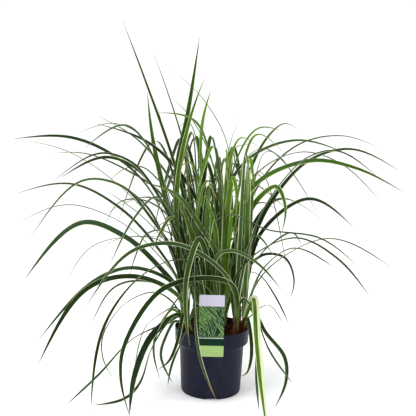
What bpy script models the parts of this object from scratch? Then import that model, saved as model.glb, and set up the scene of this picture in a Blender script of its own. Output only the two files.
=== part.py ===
"""A potted carex sedge: nursery pot, soil, card tag and sixteen leafy shoots."""

import math
import random

import bmesh
import bpy
import numpy as np
from mathutils import Matrix, Vector
from mathutils.bvhtree import BVHTree

# Pot, in metres
POT_HEIGHT = 0.150
RIM_RADIUS = 0.085
RIM_FOOT_RADIUS = 0.0835
RIM_FOOT_HEIGHT = 0.1165
NECK_RADIUS = 0.0735
NECK_HEIGHT = 0.1075
FOOT_RADIUS = 0.0683
BASE_RADIUS = 0.0655
WALL = 0.0018
FLOOR = 0.003
POT_STEPS = 40
NOTCH_LOW_WIDTH = 0.0276
NOTCH_TOP_WIDTH = 0.022
NOTCH_HEIGHT = 0.0055

# Soil
SOIL_EDGE_HEIGHT = 0.136
SOIL_MOUND = 0.006
SOIL_ROUGHNESS = 0.0018
GAP = 0.0003
HOLE_DEPTH = 0.016

# Card tag
CARD_WIDTH = 0.0548
CARD_MIDDLE = -0.0021
CARD_LOW = 0.1055
CARD_TOP = 0.2415
CARD_THICKNESS = 0.0008
CARD_OUT = 0.0885
TONGUE_WIDTH = 0.022
TONGUE_IN = 0.0680
TONGUE_LOW = 0.104
SADDLE_HEIGHT = 0.1565

# Shoots
SHEATH_RADIUS = 0.0072
SHEATH_TOP_RADIUS = 0.0040
SHEATH_RISE = 0.050
SEED = 42

# The plant is laid out as it is seen from the front, from this spot
EYE = Vector((-0.0152, -1.5, 0.573))

# Where each shoot stands on the soil, across and back, and how far its sheath leans, in cm
SHOOTS = (
    (0.2, 0.3, 0.0, 0.0),
    (2.6, 0.9, 0.2, 0.0),
    (1.2, 3.4, 0.1, 0.4),
    (-1.9, 2.6, -0.4, 0.3),
    (-2.9, -0.2, -0.7, 0.0),
    (-1.2, -2.7, -0.3, -0.4),
    (1.7, -2.3, 0.3, -0.2),
    (7.0, -0.9, 0.9, -0.2),
    (5.9, 2.2, 0.8, 0.2),
    (2.8, 5.9, 0.4, 0.8),
    (-0.6, 6.3, -0.1, 0.9),
    (-3.9, 5.1, -0.6, 0.7),
    (-6.1, 2.4, -1.0, 0.3),
    (-6.4, -0.8, -1.1, -0.1),
    (-5.0, -3.8, -0.8, -0.6),
    (5.2, -2.8, 0.6, -0.4),
)

# Leaves as seen from the front: shoot, depth of the tip in cm (toward the viewer is negative),
# width in mm, turn of the blade low down and at the tip in degrees, then the points that
# its middle line passes through, across and up in cm
LEAVES = (
    (6, -15, 11, 70, 70, -1.6, 31, -3.4, 34.8, -5.9, 27, -6.2, 19, -5, 9.8),
    (5, 2, 8, 30, 40, -7, 44, -10, 54, -16, 70, -21, 82.5),
    (4, 9, 7, 20, 10, -4, 42, -7.5, 57, -11, 67.5, -14.5, 76.5),
    (5, -4, 14, 70, 40, -8.6, 43, -8.4, 52, -6.6, 62, -4.2, 79.5),
    (14, -7, 11, 60, 50, -8.6, 46, -6, 61.5, -3, 70.5),
    (2, 6, 7, 20, 10, 3.6, 44, 2.2, 57, -3, 66, -9.5, 72),
    (1, 7, 17, 85, 60, -2.8, 42, -3.3, 60, -1.5, 68),
    (2, 5, 6, 20, 20, 2.4, 48, 3, 56, 5, 62),
    (5, 4, 12, 70, 60, -7, 30, -11.6, 46, -14.3, 58, -15.5, 67.5),
    (4, 5, 7, 30, 20, -5, 38, -9.5, 52, -11.5, 58.5, -13.2, 64.2),
    (7, -4, 16, 75, 40, 2.6, 38, -0.8, 52, -4.8, 61.3, -12.8, 63),
    (1, 3, 8, 40, 20, 1.6, 43, -3, 57.5, -6.5, 62.9, -10.2, 66.5),
    (1, 8, 11, 60, 20, -3.7, 48, -4.4, 57, -6.3, 61, -9, 59.3),
    (5, 8, 7, 30, 30, -7, 42, -12, 51, -18, 57.3, -26.5, 62),
    (16, 2, 11, 35, 25, -1, 37, -7, 48.5, -15, 56.3, -27, 60.3),
    (13, 9, 8, 20, 10, -10, 43, -13.5, 52, -17.5, 58.3, -23, 60.4, -31, 58),
    (5, -7, 12, 50, 40, -11, 44.5, -15.5, 56, -20.5, 60.1, -29.3, 54.8),
    (14, -4, 12, 20, 60, -10, 36, -16, 47.5, -24, 54, -33, 57.2, -45, 56.5),
    (14, 6, 7, 20, 10, -8, 30, -14, 39, -24, 48.5, -34, 54.3, -44.5, 56.3),
    (13, 12, 8, 20, 10, -8, 36, -12, 44.8, -20, 50.2, -29, 53.6, -37, 53.4),
    (5, -13, 8, 30, 20, -8.5, 36, -14, 46.5, -19, 52, -26, 53.7, -36, 47.5),
    (14, -9, 13, 50, 60, -8.5, 34, -13, 45, -18.5, 51, -25, 52.9, -34.3, 48.3),
    (14, 3, 9, 20, 20, -7.5, 24, -13, 33, -21, 41.3, -32, 46.7, -44.5, 44.3),
    (14, -8, 9, 20, 20, -8.5, 30, -14, 39, -21, 46.5, -30, 47.4, -41.7, 34),
    (13, 9, 8, 15, 10, -8, 25, -13, 31.5, -21, 38.2, -33, 42, -44.5, 37.5),
    (14, -6, 14, 20, 50, -7.2, 22, -12, 28, -20, 35, -30, 38, -43, 24.5),
    (13, 14, 8, 20, 10, -6.5, 28, -12, 34.2, -20, 34.9, -28, 32.3, -34, 23),
    (12, 19, 6, 20, 10, -9, 34, -16, 35.2, -20, 34.9, -24, 33.3, -26.2, 30),
    (12, 14, 7, 20, 20, -8, 36, -12, 41.5, -17, 43.6, -21.5, 42.8, -24.7, 37.5),
    (6, -15, 10, 30, 50, -5, 32, -8.5, 39.5, -13.3, 44.2, -18, 39.5, -23.5, 28.5),
    (12, 9, 6, 20, 20, -8, 42, -13, 48.3, -16.5, 50.9, -20.5, 50.3, -24.5, 46.7),
    (5, 13, 7, 20, 20, -6, 26, -11, 34, -17, 40.3, -24.8, 45.5),
    (16, -13, 10, 30, 50, 4, 25, -2.5, 31.3, -10, 33.8, -19, 31.5, -29, 18.5),
    (14, -10, 10, 25, 50, -8.5, 24, -18, 28, -27, 24.8, -40, 10.3),
    (15, -14, 12, 25, 55, -8, 21.8, -18, 26, -28.8, 22.8, -40, 4.5),
    (14, 4, 8, 20, 20, -8.6, 22.4, -16, 25, -22.5, 23.3, -28, 13.5),
    (6, -20, 12, 30, 60, -4.5, 29.8, -10, 29.6, -18, 24.6, -25, 13.5, -27.7, -5.8),
    (14, -3, 8, 25, 30, -12.5, 22.3, -19.5, 19.9, -24.8, 12.5, -25, 7, -22.3, 1.5),
    (15, -20, 10, 30, 60, -9, 15.6, -18, 11.4, -26, 2.7, -33.5, -4.8),
    (16, -22, 12, 30, 50, 4.5, 24.3, -2, 26, -12, 22.8, -20, 10, -20.8, 2, -18.6, -7),
    (15, -21, 14, 50, 60, -7.3, 17.3, -13.5, 12.6, -17.4, 3.5, -18.7, -6.8),
    (15, -19, 12, 45, 60, -8.4, 17.2, -13.4, 9.8, -16.4, 1, -19.6, -2.6, -27.3, -4.6),
    (14, -6, 8, 30, 40, -8.4, 15.8, -10.8, 11.5, -11.6, 7.5, -8.8, 1.2),
    (14, 1, 7, 30, 40, -9, 18.5, -12.2, 14, -13.3, 9, -11.8, 2.3),
    (6, -13, 11, 60, 60, -3.6, 19.5, -6.2, 12.6, -9, 5.6, -9.9, 0.6),
    (15, -14, 9, 40, 40, -6.4, 17.6, -7.9, 10.8, -9.7, 6.4, -12.2, 4.3),
    (14, 2, 7, 30, 40, -8.5, 19, -12, 17.2, -15.2, 14.2, -17.6, 5),
    (7, -12, 7, 40, 60, -3.5, 25, -7, 22.2, -10, 18, -12.5, 13),
    (4, 10, 8, 40, 60, -10, 36, -15, 36, -17.7, 30.7, -19, 26),
    (7, -6, 11, 50, 50, 0.8, 31, -3.5, 38.3, -8.7, 44.9, -15.8, 47.3),
    (5, -8, 13, 80, 40, -3, 30, -4.2, 36, -6, 46, -6.6, 55),
    (6, -16, 13, 75, 75, -3.0, 26, -3.9, 30.3, -4, 18, -2.6, 7.4, 1.2, -2.3),
    (8, -6, 9, 40, 60, 8, 16.8, 9, 12.5, 9.2, 7.5, 8.3, 4, 6.8, 3.1),
    (8, -27, 15, 60, 70, 8.6, 20.3, 9.5, 21.4, 10.4, 13, 11.7, 2, 13.4, -10),
    (8, -19, 11, 60, 60, 8.9, 19, 10.2, 13, 10.4, 4, 11.4, -5.2),
    (16, -12, 10, 40, 50, 7.2, 21.3, 10, 17.5, 13.2, 9.6, 18.7, 2),
    (8, -17, 9, 30, 60, 9, 19.4, 12.2, 13.8, 16.8, 8, 17.4, 2.5, 15, -4.2),
    (8, 0, 7, 30, 30, 8.4, 17, 10.2, 18.8, 12.7, 20.1, 16.2, 15.8),
    (9, 4, 9, 30, 50, 8, 27.5, 10.6, 26.9, 14, 22.5, 17.7, 15.5),
    (7, -7, 9, 40, 40, 0.8, 31, 4, 32.4, 9.5, 30, 16, 23.2),
    (8, 3, 11, 40, 30, 8.8, 22.5, 11.5, 28.8, 17.8, 33.3, 27.4, 29),
    (9, 10, 8, 30, 30, 8, 28.5, 11.5, 31.7, 16.2, 31, 18.4, 26, 17.3, 20.5),
    (8, -4, 9, 25, 25, 9.2, 23.5, 14, 30, 26, 35.7, 40.5, 29.3),
    (16, -9, 12, 35, 40, 5, 26, 11, 33, 19, 35.7, 28, 31.2, 36, 22.3),
    (6, -9, 10, 40, 35, -1.8, 37, 3.6, 40.6, 12, 37.4, 24, 35.7, 33, 29.2),
    (7, -3, 12, 40, 40, 3.6, 23, 8, 28.6, 13, 34.2, 17.6, 36.8, 19.8, 34),
    (8, 5, 10, 35, 45, 8.0, 27, 10.8, 37, 21, 44.6, 31.2, 38.5),
    (9, 0, 12, 50, 60, 6, 35, 9.2, 43.7, 13.7, 47.2, 15.9, 42.5, 15.2, 36.7),
    (2, -4, 11, 30, 55, 4, 38, 9.5, 48, 21, 53.1, 31, 51.8, 42, 46.7),
    (8, -5, 13, 45, 20, 8, 33, 12.6, 45, 20, 53.6, 27, 55.4, 36, 50),
    (9, 6, 11, 30, 20, 8.6, 34, 12.8, 44, 20.5, 53, 30, 55.9, 41, 51.3),
    (10, 12, 7, 20, 10, 7, 41, 12, 51, 19, 57, 28, 58.8, 37, 56),
    (3, 8, 9, 30, 30, 2.6, 46, 8, 53.8, 18, 57.6, 30.5, 54.3),
    (3, 3, 13, 60, 40, 2.8, 44, 5, 54, 9.2, 60, 14.4, 59.6),
    (9, 9, 11, 50, 30, 5.2, 36, 7.5, 50, 11.5, 58.3, 15, 61.2, 18, 60),
    (2, 9, 12, 45, 10, 4.6, 40, 10, 50.8, 19, 55.1, 28, 52.6, 36.8, 44.7),
    (11, 11, 9, 45, 30, -0.2, 45, 1.6, 52, 4.2, 55.6, 8, 56.6),
    (3, -1, 6, 30, 20, 0.3, 38, -0.8, 47.5, -2.6, 50.5),
    (2, -6, 12, 80, 60, 3, 42, 4, 48.8, 4.9, 45, 4.8, 38.5),
    (10, 12, 8, 40, 20, 5.5, 35, 7.5, 41.3, 10.5, 43.5, 14, 41.8),
    (7, -3, 16, 85, 80, 2.6, 30, 2.3, 40, 1.4, 47),
    (2, -1, 15, 80, 80, 4.8, 28, 4.6, 38, 4.9, 47),
    (7, -6, 14, 85, 80, 3.8, 26, 3.4, 34, 4.1, 42),
    (1, -4, 14, 85, 70, -1, 30, -1.6, 40, -1.2, 49),
    (6, -6, 13, 75, 70, -2.4, 28, -5.4, 37, -8, 44),
    (5, -3, 14, 70, 60, -5.4, 27, -8.8, 37, -12, 45),
    (15, -6, 12, 60, 50, -7, 24, -10.4, 33, -14.5, 41, -19, 45.5),
    (1, -5, 12, 80, 60, 0.6, 29, 0.2, 37, -2.4, 45.5),
)

# How much wider, further front to back and further turned to the front leaves are than read
WIDEN = (0.8, 1.1)
DEEPEN = 1.3
FAR_FORWARD = -12.0
TURN_MORE = (24.0, 0.73)

# Leaves filled in by rule on each shoot: how many, then their least and most reach, in cm
FILL = (5, 5, 6, 6, 4, 3, 4, 3, 5, 9, 10, 9, 7, 3, 4, 4)
FILL_REACH = (16, 38)
FILL_REACH_CORE = (5, 15)
BEND_WEIGHT = 0.8
LEAST_HEIGHT = 0.009
COLOURS = {
    "pot": (0.026, 0.028, 0.044),
    "soil": (0.030, 0.016, 0.010),
    "label_tag": (0.62, 0.62, 0.66),
    "leaf": (0.055, 0.125, 0.022),
}


def clear_scene():
    for obj in list(bpy.data.objects):
        bpy.data.objects.remove(obj, do_unlink=True)


def material(name, colour, roughness):
    mat = bpy.data.materials.new(name)
    mat.use_nodes = True
    shader = mat.node_tree.nodes["Principled BSDF"]
    shader.inputs["Base Color"].default_value = (*colour, 1.0)
    shader.inputs["Roughness"].default_value = roughness
    shader.inputs["Metallic"].default_value = 0.0
    return mat


def new_object(name, mesh, home):
    obj = bpy.data.objects.new(name, mesh)
    home.objects.link(obj)
    return obj


def mesh_from(bm, name):
    mesh = bpy.data.meshes.new(name)
    bm.normal_update()
    bm.to_mesh(mesh)
    bm.free()
    return mesh


def apply_modifiers(obj):
    graph = bpy.context.evaluated_depsgraph_get()
    made = bpy.data.meshes.new_from_object(obj.evaluated_get(graph))
    old = obj.data
    obj.modifiers.clear()
    obj.data = made
    bpy.data.meshes.remove(old)


def keep_main_body(obj):
    """Fills hollows that fusing has sealed and drops loose scraps: only the largest shell stays."""
    bm = bmesh.new()
    bm.from_mesh(obj.data)
    left, shells = set(bm.verts), []
    while left:
        shell, edge = set(), {left.pop()}
        while edge:
            shell |= edge
            edge = {e.other_vert(v) for v in edge for e in v.link_edges} - shell
        left -= shell
        shells.append(shell)
    main_shell = max(shells, key=len)
    loose = [v for v in bm.verts if v not in main_shell]
    bmesh.ops.delete(bm, geom=loose, context="VERTS")
    bm.to_mesh(obj.data)
    bm.free()


def boolean(obj, other, operation, solver="EXACT"):
    cut = obj.modifiers.new(operation.lower(), "BOOLEAN")
    cut.operation = operation
    cut.solver = solver
    if isinstance(other, bpy.types.Collection):
        cut.operand_type = "COLLECTION"
        cut.collection = other
    else:
        cut.object = other
    return cut


def turned(name, profile, steps, home):
    """A solid of revolution about Z from (radius, height) pairs that start and end on the axis."""
    mesh = bpy.data.meshes.new(name)
    points = [(radius, 0.0, height) for radius, height in profile]
    mesh.from_pydata(points, [(i, i + 1) for i in range(len(points) - 1)], [])
    obj = new_object(name, mesh, home)
    screw = obj.modifiers.new("turned", "SCREW")
    screw.axis = "Z"
    screw.steps = steps
    screw.render_steps = steps
    screw.use_merge_vertices = True
    screw.merge_threshold = 0.0001
    screw.use_normal_calculate = True
    apply_modifiers(obj)
    return obj


def box(name, low, high, home):
    bm = bmesh.new()
    bmesh.ops.create_cube(bm, size=1.0)
    for vert in bm.verts:
        share = vert.co + Vector((0.5, 0.5, 0.5))
        vert.co = Vector([a + (b - a) * s for a, b, s in zip(low, high, share)])
    return new_object(name, mesh_from(bm, name), home)


def helper(obj, helpers):
    for home in list(obj.users_collection):
        home.objects.unlink(obj)
    helpers.objects.link(obj)
    obj.hide_render = True
    obj.display_type = "WIRE"
    return obj


def notch_cutter(bearing, helpers):
    """A wedge through the foot of the wall, narrower at its top."""
    bm = bmesh.new()
    bmesh.ops.create_cube(bm, size=1.0)
    for vert in bm.verts:
        up = vert.co.z > 0
        width = NOTCH_TOP_WIDTH if up else NOTCH_LOW_WIDTH * 1.06
        vert.co.y *= width
        vert.co.x = 0.058 if vert.co.x < 0 else 0.074
        vert.co.z = NOTCH_HEIGHT if up else -0.001
    bmesh.ops.rotate(
        bm, verts=bm.verts, cent=(0, 0, 0), matrix=rotation_z(math.radians(bearing))
    )
    return helper(new_object("notch", mesh_from(bm, "notch"), helpers), helpers)


def rotation_z(angle):
    return Matrix.Rotation(angle, 3, "Z")


def make_pot(home, helpers):
    outer = [
        (RIM_RADIUS - WALL, POT_HEIGHT),
        (RIM_RADIUS - 0.0003, POT_HEIGHT),
        (RIM_RADIUS, POT_HEIGHT - 0.0006),
        (RIM_FOOT_RADIUS, RIM_FOOT_HEIGHT),
        (RIM_FOOT_RADIUS - 0.0008, RIM_FOOT_HEIGHT - 0.0012),
        (NECK_RADIUS, NECK_HEIGHT),
        (FOOT_RADIUS, 0.006),
        (FOOT_RADIUS - 0.0009, 0.0025),
        (BASE_RADIUS + 0.001, 0.0006),
        (BASE_RADIUS - 0.001, 0.0),
        (0.0, 0.0),
    ]
    inner = [
        (0.0, FLOOR),
        (FOOT_RADIUS - WALL - 0.002, FLOOR),
        (FOOT_RADIUS - WALL, FLOOR + 0.003),
        (NECK_RADIUS - WALL, NECK_HEIGHT),
        (RIM_FOOT_RADIUS - WALL, RIM_FOOT_HEIGHT),
    ]
    pot = turned("pot", inner + outer, POT_STEPS, home)
    for bearing in (-88, 2, 92, 182):
        boolean(pot, notch_cutter(bearing, helpers), "DIFFERENCE")
    apply_modifiers(pot)
    for face in pot.data.polygons:
        face.use_smooth = True
    pot.data.set_sharp_from_angle(angle=math.radians(35))
    return pot


def soil_height(x, y):
    """Height of the soil's top: a low mound toward the middle and the right."""
    off = math.hypot(x - 0.010, y - 0.004) / 0.080
    return SOIL_EDGE_HEIGHT + SOIL_MOUND * max(0.0, 1.0 - off * off)


def make_soil(home, helpers):
    edge = RIM_FOOT_RADIUS - WALL + 0.0009
    profile = [
        (0.0, SOIL_EDGE_HEIGHT),
        (0.022, SOIL_EDGE_HEIGHT),
        (0.045, SOIL_EDGE_HEIGHT),
        (0.066, SOIL_EDGE_HEIGHT),
        (edge - 0.0008, SOIL_EDGE_HEIGHT),
        (RIM_FOOT_RADIUS - WALL - GAP, RIM_FOOT_HEIGHT),
        (NECK_RADIUS - WALL - GAP, NECK_HEIGHT - 0.0002),
        (FOOT_RADIUS - WALL - GAP, FLOOR + 0.0034),
        (FOOT_RADIUS - WALL - GAP - 0.002, FLOOR + GAP),
        (0.0, FLOOR + GAP),
    ]
    soil = turned("soil", profile, POT_STEPS // 2, home)
    draw = random.Random(SEED)
    for vert in soil.data.vertices:
        if vert.co.z > SOIL_EDGE_HEIGHT - 0.001:
            rough = draw.uniform(-1, 1) * SOIL_ROUGHNESS
            if math.hypot(vert.co.x, vert.co.y) > 0.075:
                rough = -abs(rough)
            vert.co.z = soil_height(vert.co.x, vert.co.y) + rough
    for number, shoot in enumerate(SHOOTS):
        boolean(soil, hole_cutter(number, shoot, helpers), "DIFFERENCE")
    slot = box(
        "slot",
        (-TONGUE_WIDTH / 2 - GAP, -TONGUE_IN - CARD_THICKNESS - GAP, TONGUE_LOW - GAP),
        (TONGUE_WIDTH / 2 + GAP, -TONGUE_IN + GAP, 0.16),
        home,
    )
    boolean(soil, helper(slot, helpers), "DIFFERENCE")
    apply_modifiers(soil)
    return soil


def sheath_axis(shoot):
    """Foot and top of a shoot's sheath."""
    x, y, lean_x, lean_y = (value / 100 for value in shoot)
    ground = soil_height(x, y)
    foot = Vector((x, y, ground - HOLE_DEPTH + GAP))
    top = Vector((x + lean_x, y + lean_y, ground + SHEATH_RISE))
    return foot, top, ground


def sheath_spot(shoot, height):
    """The middle of the sheath at a height over the soil: upright below it, leaning above."""
    foot, top, ground = sheath_axis(shoot)
    share = max(0.0, height / SHEATH_RISE)
    flat = foot.lerp(top, min(1.0, share) ** 1.5)
    return Vector((flat.x, flat.y, ground + height))


def hole_cutter(number, shoot, helpers):
    foot, top, ground = sheath_axis(shoot)
    bm = bmesh.new()
    bmesh.ops.create_cone(
        bm,
        cap_ends=True,
        segments=10,
        radius1=SHEATH_RADIUS + 3 * GAP,
        radius2=SHEATH_RADIUS + 3 * GAP,
        depth=HOLE_DEPTH + 0.02,
    )
    middle = Vector((foot.x, foot.y, ground - HOLE_DEPTH + (HOLE_DEPTH + 0.02) / 2))
    bmesh.ops.translate(bm, verts=bm.verts, vec=middle)
    name = f"hole_{number + 1:02d}"
    return helper(new_object(name, mesh_from(bm, name), helpers), helpers)


def make_label(home, helpers):
    half = CARD_WIDTH / 2
    thick = CARD_THICKNESS
    card = box(
        "label_tag",
        (CARD_MIDDLE - half, -CARD_OUT - thick, CARD_LOW),
        (CARD_MIDDLE + half, -CARD_OUT, CARD_TOP),
        home,
    )
    saddle = box(
        "saddle",
        (-TONGUE_WIDTH / 2, -CARD_OUT - thick / 2, SADDLE_HEIGHT - thick),
        (TONGUE_WIDTH / 2, -TONGUE_IN - thick / 2, SADDLE_HEIGHT),
        home,
    )
    tongue = box(
        "tongue",
        (-TONGUE_WIDTH / 2, -TONGUE_IN - thick, TONGUE_LOW),
        (TONGUE_WIDTH / 2, -TONGUE_IN, SADDLE_HEIGHT),
        home,
    )
    for vert in tongue.data.vertices:
        if vert.co.z < TONGUE_LOW + 0.001:
            vert.co.x *= 0.5
    boolean(card, helper(saddle, helpers), "UNION")
    boolean(card, helper(tongue, helpers), "UNION")
    apply_modifiers(card)
    return card


def seen_at(across, up, depth):
    """The point at this depth that shows at (across, up) cm in the upright plane of the pot's axis."""
    spot = Vector((across / 100, 0.0, up / 100))
    reach = (depth - EYE.y) / -EYE.y
    return EYE + (spot - EYE) * reach


def smooth_line(points, count=0):
    """Stations on a smooth curve through the points, closer where it bends, and their shares of its length."""
    pts = np.array([tuple(p) for p in points], float)
    gaps = np.sqrt(np.linalg.norm(np.diff(pts, axis=0), axis=1))
    knots = np.concatenate([[0.0], np.cumsum(gaps)])
    slopes = np.empty_like(pts)
    steps = np.diff(pts, axis=0) / np.diff(knots)[:, None]
    ahead, behind = gaps[1:, None], gaps[:-1, None]
    slopes[1:-1] = (steps[:-1] * ahead + steps[1:] * behind) / (ahead + behind)
    slopes[0] = 2 * steps[0] - slopes[1]
    slopes[-1] = 1.5 * steps[-1] - 0.5 * slopes[-2]
    slopes[0, :2] *= 0.5
    line = [pts[0]]
    for i, gap in enumerate(gaps):
        for t in np.linspace(0, 1, 17)[1:]:
            a = (1 + 2 * t) * (1 - t) ** 2
            b = t * (1 - t) ** 2 * gap
            c = t * t * (3 - 2 * t)
            d = t * t * (t - 1) * gap
            line.append(a * pts[i] + b * slopes[i] + c * pts[i + 1] + d * slopes[i + 1])
    line = np.array(line)
    steps = np.diff(line, axis=0)
    lengths = np.linalg.norm(steps, axis=1)
    along = np.concatenate([[0.0], np.cumsum(lengths)]) / lengths.sum()
    heading = steps / lengths[:, None]
    bends = np.arccos(np.clip((heading[1:] * heading[:-1]).sum(axis=1), -1, 1))
    turned = np.concatenate([[0.0], np.cumsum(np.append(bends, 0.0))])
    count = count or int(min(8, max(5, 3.6 + turned[-1] / 0.42)))
    measure = along + BEND_WEIGHT * turned / max(0.3, turned[-1])
    share = np.linspace(0, measure[-1], count)
    stations = np.stack([np.interp(share, measure, line[:, axis]) for axis in range(3)], 1)
    return stations, np.interp(share, measure, along)


def blade_width(share):
    """Width along a leaf as a share of its full width: narrow in the sheath, long point at the tip."""
    if share < 0.22:
        rise = share / 0.22
        return 0.50 + 0.50 * rise * rise * (3 - 2 * rise)
    return 1.0 - ((share - 0.22) / 0.78) ** 3.6


def blade_frames(line, shares, turn_low, turn_tip, seen):
    """Across and over directions at each station of a leaf, turned about its line. The turn is from
    edge-on to the spot in front for a leaf seen from there, and from level for the others."""
    tangents = np.gradient(line, axis=0)
    tangents /= np.linalg.norm(tangents, axis=1)[:, None]
    level = np.cross(line[-1] - line[0], (0.0, 0.0, 1.0))
    frames = []
    for i, tangent in enumerate(tangents):
        side = np.array(EYE) - line[i] if seen else level
        across = side - tangent * side.dot(tangent)
        across /= np.linalg.norm(across)
        over = np.cross(across, tangent)
        angle = math.radians(turn_low + (turn_tip - turn_low) * shares[i])
        frames.append(
            (
                across * math.cos(angle) + over * math.sin(angle),
                over * math.cos(angle) - across * math.sin(angle),
            )
        )
    return frames


def blade_mesh(stations, width, turn_low, turn_tip, seen, grow=0.0):
    """A keeled blade on its line: a three-sided prism, divided along and drawn onto the stations."""
    line, shares = stations
    count = len(line)
    frames = blade_frames(line, shares, turn_low, turn_tip, seen)
    bm = bmesh.new()
    bmesh.ops.create_cone(
        bm, cap_ends=True, segments=3, radius1=1.0, radius2=1.0, depth=1.0
    )
    long_edges = [e for e in bm.edges if abs(e.verts[0].co.z - e.verts[1].co.z) > 0.5]
    bmesh.ops.subdivide_edges(bm, edges=long_edges, cuts=count - 2, use_grid_fill=True)
    for vert in bm.verts:
        share = vert.co.z + 0.5
        i = int(round(share * (count - 1)))
        across, over = frames[i]
        half = max(0.0003, width * blade_width(shares[i]) / 2) + grow
        keel = max(0.0006, half * 0.36) + grow
        bearing = math.atan2(vert.co.x, vert.co.y)
        if abs(bearing) < 0.5:
            offset = over * -keel
        else:
            offset = across * math.copysign(half, bearing) + over * (grow + 0.0001)
        vert.co = Vector(line[i] + offset)
    bmesh.ops.triangulate(bm, faces=[f for f in bm.faces if len(f.verts) > 3])
    bmesh.ops.recalc_face_normals(bm, faces=bm.faces)
    return bm


def tree_of(bm):
    return BVHTree.FromBMesh(bm)


def leaf_points(leaf, shift):
    """The line's points: rooted in the sheath, its depth growing evenly along the leaf."""
    shoot, depth, points = leaf["shoot"], leaf["depth"] + shift, leaf["points"]
    root = sheath_spot(SHOOTS[shoot], leaf["rise"])
    pairs = [(points[i], points[i + 1]) for i in range(0, len(points), 2)]
    flat = [(root.x * 100, root.z * 100)] + pairs
    lengths = [math.dist(a, b) for a, b in zip(flat, flat[1:])]
    made, run = [root], 0.0
    for (across, up), length in zip(pairs, lengths):
        run += length
        share = run / sum(lengths)
        toward = root.y + (depth / 100 - root.y) * share**1.15
        made.append(seen_at(across, up, toward))
    return made


def fill_points(shoot, bearing, reach, height, droop):
    """A leaf by rule: rises out of the sheath, arches over and hangs toward its tip."""
    out = Vector((math.cos(bearing), math.sin(bearing), 0.0))
    root = sheath_spot(SHOOTS[shoot], 0.03)
    up = Vector((0, 0, 1))
    return [
        root + out * reach * 0.14 + up * height * 0.55,
        root + out * reach * 0.48 + up * height,
        root + out * reach + up * (height - droop),
    ]


def deepened(depth):
    """A tip's depth as read, drawn out for a round crown, less so where it is far forward."""
    if depth > FAR_FORWARD:
        return depth * DEEPEN
    return FAR_FORWARD * DEEPEN + (depth - FAR_FORWARD) * 0.76


def turned_more(degrees, draw):
    """A blade's turn as read, to one side or the other, brought round so that it shows its width."""
    return (TURN_MORE[0] + TURN_MORE[1] * degrees) * draw.choice((-1, 1))


def leaf_list():
    """Every leaf of the plant: those seen first, then those by rule, three-ranked round each shoot."""
    draw = random.Random(SEED)
    leaves = []
    for row in LEAVES:
        leaves.append(
            {
                "shoot": row[0] - 1,
                "depth": deepened(row[1]),
                "width": (WIDEN[0] + WIDEN[1] * row[2]) / 1000,
                "turn": (turned_more(row[3], draw), turned_more(row[4], draw), True),
                "points": row[5:],
                "rise": draw.uniform(0.004, 0.036),
            }
        )
    for number, count in enumerate(FILL):
        x, y = SHOOTS[number][:2]
        rear = y > 4
        for k in range(count):
            spread = (k * 0.6180339 + 0.13 * number) % 1.0 - 0.5
            rank = math.pi / 2 + spread * 1.9 if rear else spread * 6.283 + number
            reach = FILL_REACH if rear else FILL_REACH_CORE
            leaves.append(
                {
                    "shoot": number,
                    "bearing": rank + draw.uniform(-0.15, 0.15),
                    "reach": draw.uniform(*reach) / 100,
                    "height": draw.uniform(0.18, 0.42),
                    "width": draw.uniform(0.008, 0.013),
                    "turn": (draw.uniform(-70, 70), draw.uniform(-50, 50), False),
                    "rise": draw.uniform(0.004, 0.034),
                    "sag": draw.uniform(0.1, 0.8) if rear else draw.uniform(0.0, 0.3),
                }
            )
    return leaves


def leaf_line(leaf, attempt):
    """The leaf's line on its n-th try, each try bent a little further to one side or the other."""
    side = (attempt + 1) // 2 * (1 if attempt % 2 else -1)
    if "points" in leaf:
        points = leaf_points(leaf, side * 0.7)
    else:
        bearing = leaf["bearing"] + side * 0.06
        droop = leaf["sag"] * leaf["height"]
        points = [sheath_spot(SHOOTS[leaf["shoot"]], leaf["rise"])]
        points += fill_points(leaf["shoot"], bearing, leaf["reach"], leaf["height"], droop)
    line, shares = smooth_line(points)
    line[:, 2] = np.maximum(line[:, 2], LEAST_HEIGHT)
    return line, shares


def sheath_mesh(shoot):
    """The folded leaf bases at the foot of a shoot: a slim stem, upright in its hole, then leaning."""
    foot, top, ground = sheath_axis(shoot)
    bm = bmesh.new()
    bmesh.ops.create_cone(
        bm, cap_ends=True, segments=8, radius1=1.0, radius2=1.0, depth=1.0
    )
    long_edges = [e for e in bm.edges if abs(e.verts[0].co.z - e.verts[1].co.z) > 0.5]
    bmesh.ops.subdivide_edges(bm, edges=long_edges, cuts=3, use_grid_fill=True)
    heights = (foot.z - ground, 0.0, 0.018, 0.036, SHEATH_RISE)
    radii = (0.86, 1.0, 0.98, 0.78, SHEATH_TOP_RADIUS / SHEATH_RADIUS)
    for vert in bm.verts:
        level = int(round((vert.co.z + 0.5) * 4))
        spot = sheath_spot(shoot, heights[level])
        radius = SHEATH_RADIUS * radii[level]
        vert.co = spot + Vector((vert.co.x * radius, vert.co.y * radius * 0.9, 0.0))
    bmesh.ops.recalc_face_normals(bm, faces=bm.faces)
    return bm


def bvh_of_object(obj):
    bm = bmesh.new()
    bm.from_mesh(obj.data)
    tree = tree_of(bm)
    bm.free()
    return tree


def place_leaves(solids):
    """Settles every leaf where it is clear of the pot, the soil, the tag and the other shoots."""
    taken = {number: [] for number in range(len(SHOOTS))}
    sheaths = []
    for number, shoot in enumerate(SHOOTS):
        bm = sheath_mesh(shoot)
        taken[number].append(tree_of(bm))
        bm.free()
    placed = []
    for leaf in leaf_list():
        own = leaf["shoot"]
        for attempt in range(31):
            line = leaf_line(leaf, attempt)
            bm = blade_mesh(line, leaf["width"], *leaf["turn"], grow=0.0004)
            tree = tree_of(bm)
            bm.free()
            others = [t for n, trees in taken.items() if n != own for t in trees]
            if not any(tree.overlap(other) for other in others + solids):
                taken[own].append(tree)
                placed.append((leaf, line))
                break
    return placed


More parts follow.
